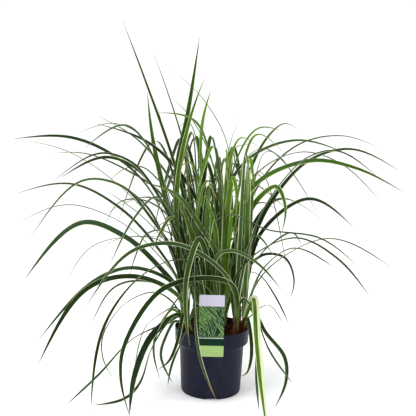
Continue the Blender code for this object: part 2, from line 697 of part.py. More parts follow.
def make_shoot(number, leaves, home):
    name = f"shoot_{number + 1:02d}"
    shoot = new_object(name, mesh_from(sheath_mesh(SHOOTS[number]), name), home)
    blades = bpy.data.collections.new(name + "_blades")
    home.children.link(blades)
    for leaf, line in leaves:
        bm = blade_mesh(line, leaf["width"], *leaf["turn"])
        new_object("blade", mesh_from(bm, "blade"), blades)
    boolean(shoot, blades, "UNION", "MANIFOLD")
    apply_modifiers(shoot)
    for blade in list(blades.objects):
        bpy.data.objects.remove(blade, do_unlink=True)
    bpy.data.collections.remove(blades)
    keep_main_body(shoot)
    return shoot


def main():
    clear_scene()
    home = bpy.data.collections.new("potted_carex")
    helpers = bpy.data.collections.new("cutters")
    bpy.context.scene.collection.children.link(home)
    bpy.context.scene.collection.children.link(helpers)
    pot = make_pot(home, helpers)
    soil = make_soil(home, helpers)
    label = make_label(home, helpers)
    pot.data.materials.append(material("pot_plastic", COLOURS["pot"], 0.5))
    soil.data.materials.append(material("soil_mix", COLOURS["soil"], 0.95))
    label.data.materials.append(material("card", COLOURS["label_tag"], 0.4))
    placed = place_leaves([bvh_of_object(obj) for obj in (pot, soil, label)])
    for number in range(len(SHOOTS)):
        mine = [(leaf, line) for leaf, line in placed if leaf["shoot"] == number]
        shoot = make_shoot(number, mine, home)
        shoot.data.materials.clear()
        shoot.data.materials.append(
            material(f"leaf_{number + 1:02d}", COLOURS["leaf"], 0.45)
        )
    print("leaves placed", len(placed), "of", len(leaf_list()))


if __name__ == "__main__":
    main()
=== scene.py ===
"""A potted carex sedge dressed for its photograph: leaves, leaf bases, bark mix, pot and card tag."""

import math
import random
from functools import partial

import bmesh
import bpy
import numpy as np
from bpy.props import FloatProperty, FloatVectorProperty, IntProperty, PointerProperty
from mathutils import Matrix, Vector, noise
from mathutils.bvhtree import BVHTree


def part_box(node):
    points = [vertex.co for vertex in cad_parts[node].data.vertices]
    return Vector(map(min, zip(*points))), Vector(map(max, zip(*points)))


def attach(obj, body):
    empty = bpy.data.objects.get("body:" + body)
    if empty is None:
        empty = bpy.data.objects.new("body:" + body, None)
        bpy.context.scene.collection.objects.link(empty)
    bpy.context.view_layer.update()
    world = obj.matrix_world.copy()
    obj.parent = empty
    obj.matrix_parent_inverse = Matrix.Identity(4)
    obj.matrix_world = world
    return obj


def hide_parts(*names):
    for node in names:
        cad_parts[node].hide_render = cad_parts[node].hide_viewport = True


bl_info = {
    "name": "Potted Sedge",
    "version": (1, 0, 0),
    "blender": (4, 5, 0),
    "location": "View3D > Sidebar > Sedge",
    "description": "Dresses a potted sedge with fine leaves, bark mix, pot and card tag",
    "category": "Object",
}

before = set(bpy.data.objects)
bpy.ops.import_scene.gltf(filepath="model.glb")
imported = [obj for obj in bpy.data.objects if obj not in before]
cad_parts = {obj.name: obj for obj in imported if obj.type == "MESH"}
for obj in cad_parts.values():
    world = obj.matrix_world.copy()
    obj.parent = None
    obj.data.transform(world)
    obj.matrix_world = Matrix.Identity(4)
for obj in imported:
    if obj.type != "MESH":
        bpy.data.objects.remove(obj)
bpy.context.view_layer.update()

# Soil and sheaths, in metres, as in the solids
SOIL_EDGE_HEIGHT = 0.136
SOIL_MOUND = 0.006
HOLE_DEPTH = 0.016
GAP = 0.0003
SHEATH_RADIUS = 0.0072
SHEATH_RISE = 0.050
# How many old scales and fibres clasp each shoot's foot, and the places in SHOOTS of those
# whose scales stand higher
SCALES = 10
SCALE_FIBRES = 9
SCALY = (7, 8, 15)
SCALY_HIGHER = 1.5
# Places in SHOOTS of the young ones in the middle, and how much younger their leaves are
YOUNG_SHOOTS = (0, 1, 2, 6)
YOUNGER = 0.35
# Place in SHOOTS of the one with a pale leaf, the height in cm that its tip shows below, how
# young it is, and how many times wider than others' its cream edges are
PALE_SHOOT = 7
PALE_TIP = -8.0
PALE_YOUTH = 0.6
PALE_EDGES = 4.0

# Seeds of what is drawn by chance: the leaves, their looks, and the chips and fibres
LEAF_SEED = 42
LOOK_SEED = 7
CHIP_SEED = 19
# How much closer a leaf's stations lie where it bends, and the least height of its line in metres
BEND_WEIGHT = 0.8
LEAST_HEIGHT = 0.009
# Where along a leaf it is at its full width, and its width at the root, both as shares
FULL_WIDTH_AT = 0.22
ROOT_WIDTH = 0.50
# How many tries a leaf gets, and the fewest leaves that a shoot may be left with
TRIES = 31
FEWEST_LEAVES = 3

# The plant is laid out as it is seen from the front, from this spot
EYE = Vector((-0.0152, -1.5, 0.573))

# Where each shoot stands on the soil, across and back, and how far its sheath leans, in cm
SHOOTS = (
    (0.2, 0.3, 0.0, 0.0),
    (2.6, 0.9, 0.2, 0.0),
    (1.2, 3.4, 0.1, 0.4),
    (-1.9, 2.6, -0.4, 0.3),
    (-2.9, -0.2, -0.7, 0.0),
    (-1.2, -2.7, -0.3, -0.4),
    (1.7, -2.3, 0.3, -0.2),
    (7.0, -0.9, 0.9, -0.2),
    (5.9, 2.2, 0.8, 0.2),
    (2.8, 5.9, 0.4, 0.8),
    (-0.6, 6.3, -0.1, 0.9),
    (-3.9, 5.1, -0.6, 0.7),
    (-6.1, 2.4, -1.0, 0.3),
    (-6.4, -0.8, -1.1, -0.1),
    (-5.0, -3.8, -0.8, -0.6),
    (5.2, -2.8, 0.6, -0.4),
)

# Leaves as seen from the front: shoot, depth of the tip in cm (toward the viewer is negative),
# width in mm, turn of the blade low down and at the tip in degrees, then the points that
# its middle line passes through, across and up in cm
LEAVES = (
    (6, -15, 11, 70, 70, -1.6, 31, -3.4, 34.8, -5.9, 27, -6.2, 19, -5, 9.8),
    (5, 2, 8, 30, 40, -7, 44, -10, 54, -16, 70, -21, 82.5),
    (4, 9, 7, 20, 10, -4, 42, -7.5, 57, -11, 67.5, -14.5, 76.5),
    (5, -4, 14, 70, 40, -8.6, 43, -8.4, 52, -6.6, 62, -4.2, 79.5),
    (14, -7, 11, 60, 50, -8.6, 46, -6, 61.5, -3, 70.5),
    (2, 6, 7, 20, 10, 3.6, 44, 2.2, 57, -3, 66, -9.5, 72),
    (1, 7, 17, 85, 60, -2.8, 42, -3.3, 60, -1.5, 68),
    (2, 5, 6, 20, 20, 2.4, 48, 3, 56, 5, 62),
    (5, 4, 12, 70, 60, -7, 30, -11.6, 46, -14.3, 58, -15.5, 67.5),
    (4, 5, 7, 30, 20, -5, 38, -9.5, 52, -11.5, 58.5, -13.2, 64.2),
    (7, -4, 16, 75, 40, 2.6, 38, -0.8, 52, -4.8, 61.3, -12.8, 63),
    (1, 3, 8, 40, 20, 1.6, 43, -3, 57.5, -6.5, 62.9, -10.2, 66.5),
    (1, 8, 11, 60, 20, -3.7, 48, -4.4, 57, -6.3, 61, -9, 59.3),
    (5, 8, 7, 30, 30, -7, 42, -12, 51, -18, 57.3, -26.5, 62),
    (16, 2, 11, 35, 25, -1, 37, -7, 48.5, -15, 56.3, -27, 60.3),
    (13, 9, 8, 20, 10, -10, 43, -13.5, 52, -17.5, 58.3, -23, 60.4, -31, 58),
    (5, -7, 12, 50, 40, -11, 44.5, -15.5, 56, -20.5, 60.1, -29.3, 54.8),
    (14, -4, 12, 20, 60, -10, 36, -16, 47.5, -24, 54, -33, 57.2, -45, 56.5),
    (14, 6, 7, 20, 10, -8, 30, -14, 39, -24, 48.5, -34, 54.3, -44.5, 56.3),
    (13, 12, 8, 20, 10, -8, 36, -12, 44.8, -20, 50.2, -29, 53.6, -37, 53.4),
    (5, -13, 8, 30, 20, -8.5, 36, -14, 46.5, -19, 52, -26, 53.7, -36, 47.5),
    (14, -9, 13, 50, 60, -8.5, 34, -13, 45, -18.5, 51, -25, 52.9, -34.3, 48.3),
    (14, 3, 9, 20, 20, -7.5, 24, -13, 33, -21, 41.3, -32, 46.7, -44.5, 44.3),
    (14, -8, 9, 20, 20, -8.5, 30, -14, 39, -21, 46.5, -30, 47.4, -41.7, 34),
    (13, 9, 8, 15, 10, -8, 25, -13, 31.5, -21, 38.2, -33, 42, -44.5, 37.5),
    (14, -6, 14, 20, 50, -7.2, 22, -12, 28, -20, 35, -30, 38, -43, 24.5),
    (13, 14, 8, 20, 10, -6.5, 28, -12, 34.2, -20, 34.9, -28, 32.3, -34, 23),
    (12, 19, 6, 20, 10, -9, 34, -16, 35.2, -20, 34.9, -24, 33.3, -26.2, 30),
    (12, 14, 7, 20, 20, -8, 36, -12, 41.5, -17, 43.6, -21.5, 42.8, -24.7, 37.5),
    (6, -15, 10, 30, 50, -5, 32, -8.5, 39.5, -13.3, 44.2, -18, 39.5, -23.5, 28.5),
    (12, 9, 6, 20, 20, -8, 42, -13, 48.3, -16.5, 50.9, -20.5, 50.3, -24.5, 46.7),
    (5, 13, 7, 20, 20, -6, 26, -11, 34, -17, 40.3, -24.8, 45.5),
    (16, -13, 10, 30, 50, 4, 25, -2.5, 31.3, -10, 33.8, -19, 31.5, -29, 18.5),
    (14, -10, 10, 25, 50, -8.5, 24, -18, 28, -27, 24.8, -40, 10.3),
    (15, -14, 12, 25, 55, -8, 21.8, -18, 26, -28.8, 22.8, -40, 4.5),
    (14, 4, 8, 20, 20, -8.6, 22.4, -16, 25, -22.5, 23.3, -28, 13.5),
    (6, -20, 12, 30, 60, -4.5, 29.8, -10, 29.6, -18, 24.6, -25, 13.5, -27.7, -5.8),
    (14, -3, 8, 25, 30, -12.5, 22.3, -19.5, 19.9, -24.8, 12.5, -25, 7, -22.3, 1.5),
    (15, -20, 10, 30, 60, -9, 15.6, -18, 11.4, -26, 2.7, -33.5, -4.8),
    (16, -22, 12, 30, 50, 4.5, 24.3, -2, 26, -12, 22.8, -20, 10, -20.8, 2, -18.6, -7),
    (15, -21, 14, 50, 60, -7.3, 17.3, -13.5, 12.6, -17.4, 3.5, -18.7, -6.8),
    (15, -19, 12, 45, 60, -8.4, 17.2, -13.4, 9.8, -16.4, 1, -19.6, -2.6, -27.3, -4.6),
    (14, -6, 8, 30, 40, -8.4, 15.8, -10.8, 11.5, -11.6, 7.5, -8.8, 1.2),
    (14, 1, 7, 30, 40, -9, 18.5, -12.2, 14, -13.3, 9, -11.8, 2.3),
    (6, -13, 11, 60, 60, -3.6, 19.5, -6.2, 12.6, -9, 5.6, -9.9, 0.6),
    (15, -14, 9, 40, 40, -6.4, 17.6, -7.9, 10.8, -9.7, 6.4, -12.2, 4.3),
    (14, 2, 7, 30, 40, -8.5, 19, -12, 17.2, -15.2, 14.2, -17.6, 5),
    (7, -12, 7, 40, 60, -3.5, 25, -7, 22.2, -10, 18, -12.5, 13),
    (4, 10, 8, 40, 60, -10, 36, -15, 36, -17.7, 30.7, -19, 26),
    (7, -6, 11, 50, 50, 0.8, 31, -3.5, 38.3, -8.7, 44.9, -15.8, 47.3),
    (5, -8, 13, 80, 40, -3, 30, -4.2, 36, -6, 46, -6.6, 55),
    (6, -16, 13, 75, 75, -3.0, 26, -3.9, 30.3, -4, 18, -2.6, 7.4, 1.2, -2.3),
    (8, -6, 9, 40, 60, 8, 16.8, 9, 12.5, 9.2, 7.5, 8.3, 4, 6.8, 3.1),
    (8, -27, 15, 60, 70, 8.6, 20.3, 9.5, 21.4, 10.4, 13, 11.7, 2, 13.4, -10),
    (8, -19, 11, 60, 60, 8.9, 19, 10.2, 13, 10.4, 4, 11.4, -5.2),
    (16, -12, 10, 40, 50, 7.2, 21.3, 10, 17.5, 13.2, 9.6, 18.7, 2),
    (8, -17, 9, 30, 60, 9, 19.4, 12.2, 13.8, 16.8, 8, 17.4, 2.5, 15, -4.2),
    (8, 0, 7, 30, 30, 8.4, 17, 10.2, 18.8, 12.7, 20.1, 16.2, 15.8),
    (9, 4, 9, 30, 50, 8, 27.5, 10.6, 26.9, 14, 22.5, 17.7, 15.5),
    (7, -7, 9, 40, 40, 0.8, 31, 4, 32.4, 9.5, 30, 16, 23.2),
    (8, 3, 11, 40, 30, 8.8, 22.5, 11.5, 28.8, 17.8, 33.3, 27.4, 29),
    (9, 10, 8, 30, 30, 8, 28.5, 11.5, 31.7, 16.2, 31, 18.4, 26, 17.3, 20.5),
    (8, -4, 9, 25, 25, 9.2, 23.5, 14, 30, 26, 35.7, 40.5, 29.3),
    (16, -9, 12, 35, 40, 5, 26, 11, 33, 19, 35.7, 28, 31.2, 36, 22.3),
    (6, -9, 10, 40, 35, -1.8, 37, 3.6, 40.6, 12, 37.4, 24, 35.7, 33, 29.2),
    (7, -3, 12, 40, 40, 3.6, 23, 8, 28.6, 13, 34.2, 17.6, 36.8, 19.8, 34),
    (8, 5, 10, 35, 45, 8.0, 27, 10.8, 37, 21, 44.6, 31.2, 38.5),
    (9, 0, 12, 50, 60, 6, 35, 9.2, 43.7, 13.7, 47.2, 15.9, 42.5, 15.2, 36.7),
    (2, -4, 11, 30, 55, 4, 38, 9.5, 48, 21, 53.1, 31, 51.8, 42, 46.7),
    (8, -5, 13, 45, 20, 8, 33, 12.6, 45, 20, 53.6, 27, 55.4, 36, 50),
    (9, 6, 11, 30, 20, 8.6, 34, 12.8, 44, 20.5, 53, 30, 55.9, 41, 51.3),
    (10, 12, 7, 20, 10, 7, 41, 12, 51, 19, 57, 28, 58.8, 37, 56),
    (3, 8, 9, 30, 30, 2.6, 46, 8, 53.8, 18, 57.6, 30.5, 54.3),
    (3, 3, 13, 60, 40, 2.8, 44, 5, 54, 9.2, 60, 14.4, 59.6),
    (9, 9, 11, 50, 30, 5.2, 36, 7.5, 50, 11.5, 58.3, 15, 61.2, 18, 60),
    (2, 9, 12, 45, 10, 4.6, 40, 10, 50.8, 19, 55.1, 28, 52.6, 36.8, 44.7),
    (11, 11, 9, 45, 30, -0.2, 45, 1.6, 52, 4.2, 55.6, 8, 56.6),
    (3, -1, 6, 30, 20, 0.3, 38, -0.8, 47.5, -2.6, 50.5),
    (2, -6, 12, 80, 60, 3, 42, 4, 48.8, 4.9, 45, 4.8, 38.5),
    (10, 12, 8, 40, 20, 5.5, 35, 7.5, 41.3, 10.5, 43.5, 14, 41.8),
    (7, -3, 16, 85, 80, 2.6, 30, 2.3, 40, 1.4, 47),
    (2, -1, 15, 80, 80, 4.8, 28, 4.6, 38, 4.9, 47),
    (7, -6, 14, 85, 80, 3.8, 26, 3.4, 34, 4.1, 42),
    (1, -4, 14, 85, 70, -1, 30, -1.6, 40, -1.2, 49),
    (6, -6, 13, 75, 70, -2.4, 28, -5.4, 37, -8, 44),
    (5, -3, 14, 70, 60, -5.4, 27, -8.8, 37, -12, 45),
    (15, -6, 12, 60, 50, -7, 24, -10.4, 33, -14.5, 41, -19, 45.5),
    (1, -5, 12, 80, 60, 0.6, 29, 0.2, 37, -2.4, 45.5),
)

# How much wider, further front to back and further turned to the front leaves are than read
WIDEN = (0.8, 1.1)
DEEPEN = 1.3
FAR_FORWARD = -12.0
TURN_MORE = (24.0, 0.73)

# Leaves filled in by rule on each shoot: how many, then their least and most reach, in cm
FILL = (5, 5, 6, 6, 4, 3, 4, 3, 5, 9, 10, 9, 7, 3, 4, 4)
FILL_REACH = (16, 38)
FILL_REACH_CORE = (5, 15)
# How far back in cm a shoot stands whose leaves go to the rear, and the share of their spread
# that lies between one leaf and the next
REAR_BEYOND = 4
GOLDEN = 0.6180339

# How near its solid the outer half of a leaf has to lie to be shown, in metres. The 81st leaf of
# the table lies further off and isn't shown, though the solids have it
FOLLOW = 0.0009
# How far from the pot's axis chips and fibres reach
CHIP_REACH = 0.0805
# Drainage notches: where they are round the pot in degrees, and their sizes in metres
NOTCH_BEARINGS = (-88, 2, 92, 182)
NOTCH_LOW_WIDTH = 0.0276
NOTCH_TOP_WIDTH = 0.022
NOTCH_HEIGHT = 0.0055
NOTCH_ROUND = 0.0022
# Tag: its card's size, its middle, its foot, its strip's width, and the levels of its bands as
# shares of its height
CARD_MILLIMETRES = (54.8, 136.0, 1.0)
TAG_MIDDLE = -0.0021
TAG_LOW = 0.1055
SADDLE_WIDTH = 0.022
TAG_LEVELS = (0.178, 0.295, 0.307, 0.818)
# Camera, in millimetres and degrees
CAMERA_LENS = 58.02
CAMERA_PITCH = 5.83
CAMERA_ROLL = 1.28


def linear(code):
    """A linear colour with alpha from an sRGB hex code."""
    parts = [int(code[i : i + 2], 16) / 255 for i in (1, 3, 5)]
    flat = [p / 12.92 if p <= 0.04045 else ((p + 0.055) / 1.055) ** 2.4 for p in parts]
    return (*flat, 1.0)


def colour_prop(name, words, code):
    return FloatVectorProperty(
        name=name, description=words, subtype="COLOR", size=4, min=0.0, max=1.0, default=linear(code)
    )


def length_prop(name, words, metres):
    return FloatProperty(
        name=name, description=words, unit="LENGTH", precision=4, min=0.0, default=metres
    )


def power_prop(name, words, watts):
    return FloatProperty(name=name, description=words, unit="POWER", min=0.0, default=watts)


def share_prop(name, words, share):
    return FloatProperty(name=name, description=words, min=0.0, max=1.0, default=share)


def number_prop(name, words, least, most, number):
    return IntProperty(name=name, description=words, min=least, max=most, default=number)


class LeafSettings(bpy.types.PropertyGroup):
    """Sizes and colours of the sedge's blades."""

    thickness: length_prop("Thickness", "How thick a blade is along its middle", 0.00055)
    margin: length_prop("Cream edge", "Width of the cream edge of a blade", 0.0011)
    fold: share_prop("Fold", "Depth of the fold as a share of half the width", 0.30)
    stations: number_prop("Stations", "Divisions along a blade", 8, 60, 34)
    gloss: share_prop("Roughness", "How soft the sheen is", 0.30)
    deep: colour_prop("Deep green", "Grown blades", "#111e08")
    mid: colour_prop("Mid green", "Streaks of grown blades", "#263d12")
    blue: colour_prop("Blue green", "Blades with a bloom of wax", "#101e18")
    young: colour_prop("Young green", "Young blades and the lower part of all", "#6a921f")
    young_deep: colour_prop("Young green, deep", "Streaks of young blades", "#36600f")
    cream: colour_prop("Cream", "Edges of the blades", "#c3c99c")
    under: colour_prop("Underside", "Grey-green lower faces", "#3f5835")
    dry: colour_prop("Dry tip", "Tips that have dried", "#7d6540")
    foot: colour_prop("Foot", "Pale foot of a blade", "#8b9f55")


class BaseSettings(bpy.types.PropertyGroup):
    """Colours of the leaf bases."""

    pale: colour_prop("Pale base", "Foot of the leaf bases", "#98a468")
    green: colour_prop("Green base", "Top of the leaf bases", "#4c6c24")
    green_deep: colour_prop("Green base, deep", "Furrows of the leaf bases", "#31461b")
    scale: colour_prop("Basal scale", "Old scales and fibres round the foot", "#66331f")
    scale_deep: colour_prop("Basal scale, deep", "Shaded parts of the old scales", "#2c150d")
    scale_pale: colour_prop("Basal scale, pale", "Weathered parts of the old scales", "#8e5a3a")


class SoilSettings(bpy.types.PropertyGroup):
    """Sizes and colours of the bark mix."""

    chips: number_prop("Chips", "How many bark chips lie on top", 0, 900, 520)
    fibres: number_prop("Fibres", "How many root and bark fibres", 0, 300, 90)
    least: length_prop("Least chip", "Length of the smallest chip", 0.003)
    most: length_prop("Largest chip", "Length of the largest chip", 0.017)
    peat: colour_prop("Peat", "Damp peat between the chips", "#1b110c")
    # shade_and_dark_grain is painted shade in the hollows between the peat's crumbs, and on the bark
    # chips the dark colour of their raised grain
    shade_and_dark_grain: colour_prop("Pits", "Hollows between the crumbs", "#0e0907")
    bark: colour_prop("Bark", "Most of the chips", "#4a2a1b")
    rust: colour_prop("Rusty bark", "Fresh broken faces of chips", "#8d5a36")


class PotSettings(bpy.types.PropertyGroup):
    """Sizes and colours of the nursery pot."""

    height: length_prop("Height", "Height of the pot", 0.150)
    rim: length_prop("Rim radius", "Outer radius at the top", 0.085)
    foot: length_prop("Foot radius", "Outer radius at the foot", 0.0683)
    wall: length_prop("Wall", "Thickness of the wall", 0.0018)
    plastic: colour_prop("Plastic", "Dark blue-grey of the pot", "#151727")
    scuff: colour_prop("Scuff", "Dust and dried water on the plastic", "#2b2d3c")
    shade: colour_prop("Shade", "Darker runs on the plastic", "#0b0c12")


class TagSettings(bpy.types.PropertyGroup):
    """Sizes and colours of the card tag."""

    width: length_prop("Width", "Width of the card", 0.0548)
    thickness: length_prop("Thickness", "Thickness of the card", 0.0006)
    head: colour_prop("Head", "Bare head of the card", "#b6b4c1")
    ground: colour_prop("Panel ground", "Ground of the printed panel", "#12281a")
    blade: colour_prop("Panel leaves", "Upper leaves printed on the panel", "#5b8a3a")
    blade_deep: colour_prop("Panel leaves, deep", "Lower leaves printed on the panel", "#2c5f2a")
    blade_edge: colour_prop("Panel leaf edges", "Edges of the printed leaves", "#a9b88c")
    line: colour_prop("Line", "Line between the panel and the dark band", "#b4bab4")
    band: colour_prop("Dark band", "Band under the panel", "#08281a")
    foot: colour_prop("Light band", "Band at the foot", "#92ae6c")


class StageSettings(bpy.types.PropertyGroup):
    """Floor and light."""

    floor: colour_prop("Floor", "Pale floor", "#fcfcfc")
    key: power_prop("Key", "Power of the overhead light", 40.0)
    fill: power_prop("Fill", "Power of each front light", 6.0)
    sky: FloatProperty(name="Sky", description="Strength of the even light", min=0.0, default=1.1)


def add_node(tree, kind, inputs=(), out=0, **settings):
    """Adds a node with its settings, sets or links its inputs, in turn or by name, and gives an
    output."""
    node = tree.nodes.new("ShaderNode" + kind)
    for key, value in settings.items():
        setattr(node, key, value)
    for key, value in (inputs if isinstance(inputs, dict) else dict(enumerate(inputs))).items():
        if isinstance(value, bpy.types.NodeSocket):
            tree.links.new(value, node.inputs[key])
        else:
            node.inputs[key].default_value = value
    return node.outputs[out]


def new_material(name, roughness, ior, specular):
    """A named material with what is the same all over set on its shader, the function that adds
    nodes to it, and its shader."""
    mat = bpy.data.materials.new(name)
    mat.use_nodes = True
    shader = mat.node_tree.nodes["Principled BSDF"]
    shader.inputs["Roughness"].default_value = roughness
    shader.inputs["IOR"].default_value = ior
    shader.inputs["Specular IOR Level"].default_value = specular
    return mat, partial(add_node, mat.node_tree), shader


def wear(add, shader, colour, relief, millimetres, strength):
    """Gives a shader its colour and a fine relief from a height of 0 to 1."""
    links = shader.id_data.links
    links.new(colour, shader.inputs["Base Color"])
    bump = add("Bump", {"Strength": strength, "Distance": millimetres / 1000, "Height": relief})
    links.new(bump, shader.inputs["Normal"])


def layered(add, body, *layers):
    """Colours laid over a body's. Each covers a share of it that goes from low to high while a map
    goes from least to most."""
    for source, least, most, low, high, colour in layers:
        share = add("MapRange", [source, least, most, low, high], interpolation_type="SMOOTHSTEP")
        body = add("Mix", {0: share, 6: body, 7: colour}, 2, data_type="RGBA")
    return body


def blade_material(look):
    """Living sedge blade: waxy skin over lengthwise veins. To the eye a dark ribbon with a satin
    sheen, a cream line along each edge, often wider on one side, a pale keel and a yellower foot."""
    mat, add, shader = new_material("sedge_blade_waxy", look.gloss, 1.45, 0.11)
    shader.inputs["Specular Tint"].default_value = linear("#dbe8f4")
    uv = add("UVMap", uv_map="blade")
    across, along, _ = add("SeparateXYZ", [uv]).node.outputs
    own = add("Attribute", attribute_name="blade_look").node
    tone, left, right = add("SeparateColor", [own.outputs["Color"]]).node.outputs
    youth = own.outputs["Alpha"]
    seed = add("Math", [tone, 60.0], operation="MULTIPLY")
    # broad streaks about 1.5 mm wide and 40 to 90 mm long, and veins drawn about 0.7 mm apart
    place = add("Mapping", {"Vector": uv, "Scale": (7.0, 7.0, 1.0)})
    broad = add("TexNoise", {"Vector": place, "W": seed, "Scale": 1.0}, noise_dimensions="4D")
    place = add("Mapping", {"Vector": uv, "Scale": (26.0, 2.5, 1.0)})
    fine = add("TexNoise", {"Vector": place, "W": seed, "Scale": 1.0}, noise_dimensions="4D")
    both = add("Math", [broad, 0.6, 0.0], operation="MULTIPLY")
    both = add("Math", [fine, 0.4, both], operation="MULTIPLY_ADD")
    grown = layered(add, look.deep, (both, 0.36, 0.62, 0.0, 1.0, look.mid))
    fresh = layered(add, look.young_deep, (both, 0.36, 0.62, 0.0, 1.0, look.young))
    blue = add("MapRange", [tone, 0.35, 1.0, 0.0, 0.6])
    grown = add("Mix", {0: blue, 6: grown, 7: look.blue}, 2, data_type="RGBA")
    low = add("MapRange", [along, 0.04, 0.34, 0.38, 0.0], interpolation_type="SMOOTHSTEP")
    share = add("Math", [youth, 0.9, low], operation="MULTIPLY_ADD", use_clamp=True)
    body = add("Mix", {0: share, 6: grown, 7: fresh}, 2, data_type="RGBA")
    inward = add("Math", [across, 0.5], operation="PINGPONG")
    keel = add("MapRange", [inward, 0.42, 0.5, 0.0, 0.25], interpolation_type="SMOOTHSTEP")
    below = add("Math", [across, 1.5], operation="GREATER_THAN")
    keel = add("Math", [below, 0.35, keel], operation="MULTIPLY_ADD")
    body = add("Mix", {0: keel, 6: body, 7: look.under}, 2, data_type="RGBA")
    # the cream edges: each is as wide as the leaf's own share says, and wanders along the leaf
    place = add("Mapping", {"Vector": uv, "Scale": (0.0, 12.0, 1.0)})
    wander = add("TexNoise", {"Vector": place, "W": seed, "Scale": 1.0}, noise_dimensions="4D")
    wander = add("MapRange", [wander, 0.3, 0.7, -0.03, 0.03])
    side = add("Math", [across], operation="FRACT")
    from_left = add("Math", [side, left], operation="SUBTRACT")
    from_right = add("Math", [1.0, side], operation="SUBTRACT")
    from_right = add("Math", [from_right, right], operation="SUBTRACT")
    rim = add("Math", [from_left, from_right], operation="MINIMUM")
    rim = add("Math", [rim, wander], operation="ADD")
    body = layered(add, body, (rim, -0.02, 0.02, 0.95, 0.0, look.cream))
    # one leaf in about ten has dried at its tip
    dried = add("MapRange", [tone, 0.90, 1.0, 1.0, 0.88])
    tip = add("Math", [along, wander], operation="ADD")
    tip = add("Math", [tip, dried], operation="SUBTRACT")
    body = layered(
        add,
        body,
        (tip, 0.0, 0.05, 0.0, 0.85, look.dry),
        (along, 0.01, 0.11, 0.55, 0.0, look.foot),
    )
    wear(add, shader, body, fine, 0.12, 0.5)
    return mat


def sheath_material(look):
    """Clasping leaf bases: smooth ribbed tissue, red-brown at the soil, then pale, green above."""
    mat, add, shader = new_material("sedge_sheath_ribbed", 0.42, 1.45, 0.14)
    place = add("TexCoord", out="Object")
    # ribs drawn about 0.7 mm apart, and patches of about 8 mm
    ribs = add("Mapping", {"Vector": place, "Scale": (1400.0, 1400.0, 60.0)})
    ribs = add("TexNoise", {"Vector": ribs, "Scale": 1.0})
    patch = add("Mapping", {"Vector": place, "Scale": (130.0, 130.0, 40.0)})
    patch = add("TexNoise", {"Vector": patch, "Scale": 1.0, "Detail": 3.0})
    height = add("SeparateXYZ", [place], 2)
    height = add("Math", [patch, 0.02, height], operation="MULTIPLY_ADD")
    body = layered(
        add,
        look.pale,
        (height, 0.155, 0.185, 0.0, 1.0, look.green),
        (height, 0.148, 0.164, 1.0, 0.0, look.scale),
    )
    share = add("Math", [ribs, 0.35], operation="MULTIPLY")
    body = add("Mix", {0: share, 6: body, 7: look.green_deep}, 2, data_type="RGBA")
    wear(add, shader, body, ribs, 0.2, 0.5)
    return mat


def scale_material(look):
    """Old basal scales: dry, papery and fibrous, red-brown and streaked lengthwise."""
    mat, add, shader = new_material("basal_scale_fibrous", 0.72, 1.45, 0.10)
    uv = add("UVMap", uv_map="blade")
    own = add("Attribute", attribute_name="blade_look", out="Color")
    tone = add("SeparateColor", [own])
    seed = add("Math", [tone, 60.0], operation="MULTIPLY")
    place = add("Mapping", {"Vector": uv, "Scale": (18.0, 3.0, 1.0)})
    fibre = {"Vector": place, "W": seed, "Scale": 1.0, "Detail": 3.0}
    fibre = add("TexNoise", fibre, noise_dimensions="4D")
    body = layered(
        add,
        look.scale_deep,
        (fibre, 0.32, 0.66, 0.0, 1.0, look.scale),
        (tone, 0.55, 0.9, 0.0, 0.5, look.scale_pale),
    )
    wear(add, shader, body, fibre, 0.25, 0.7)
    return mat


def seen_at(across, up, depth):
    """The point at this depth that shows at (across, up) cm in the upright plane of the pot's axis."""
    spot = Vector((across / 100, 0.0, up / 100))
    reach = (depth - EYE.y) / -EYE.y
    return EYE + (spot - EYE) * reach


def soil_height(x, y):
    """Height of the soil's top: a low mound toward the middle and the right."""
    off = math.hypot(x - 0.010, y - 0.004) / 0.080
    return SOIL_EDGE_HEIGHT + SOIL_MOUND * max(0.0, 1.0 - off * off)


def sheath_axis(shoot):
    """Foot and top of a shoot's sheath."""
    x, y, lean_x, lean_y = (value / 100 for value in shoot)
    ground = soil_height(x, y)
    foot = Vector((x, y, ground - HOLE_DEPTH + GAP))
    top = Vector((x + lean_x, y + lean_y, ground + SHEATH_RISE))
    return foot, top, ground


def sheath_spot(shoot, height):
    """The middle of the sheath at a height over the soil: upright below it, leaning above."""
    foot, top, ground = sheath_axis(shoot)
    share = max(0.0, height / SHEATH_RISE)
    flat = foot.lerp(top, min(1.0, share) ** 1.5)
    return Vector((flat.x, flat.y, ground + height))


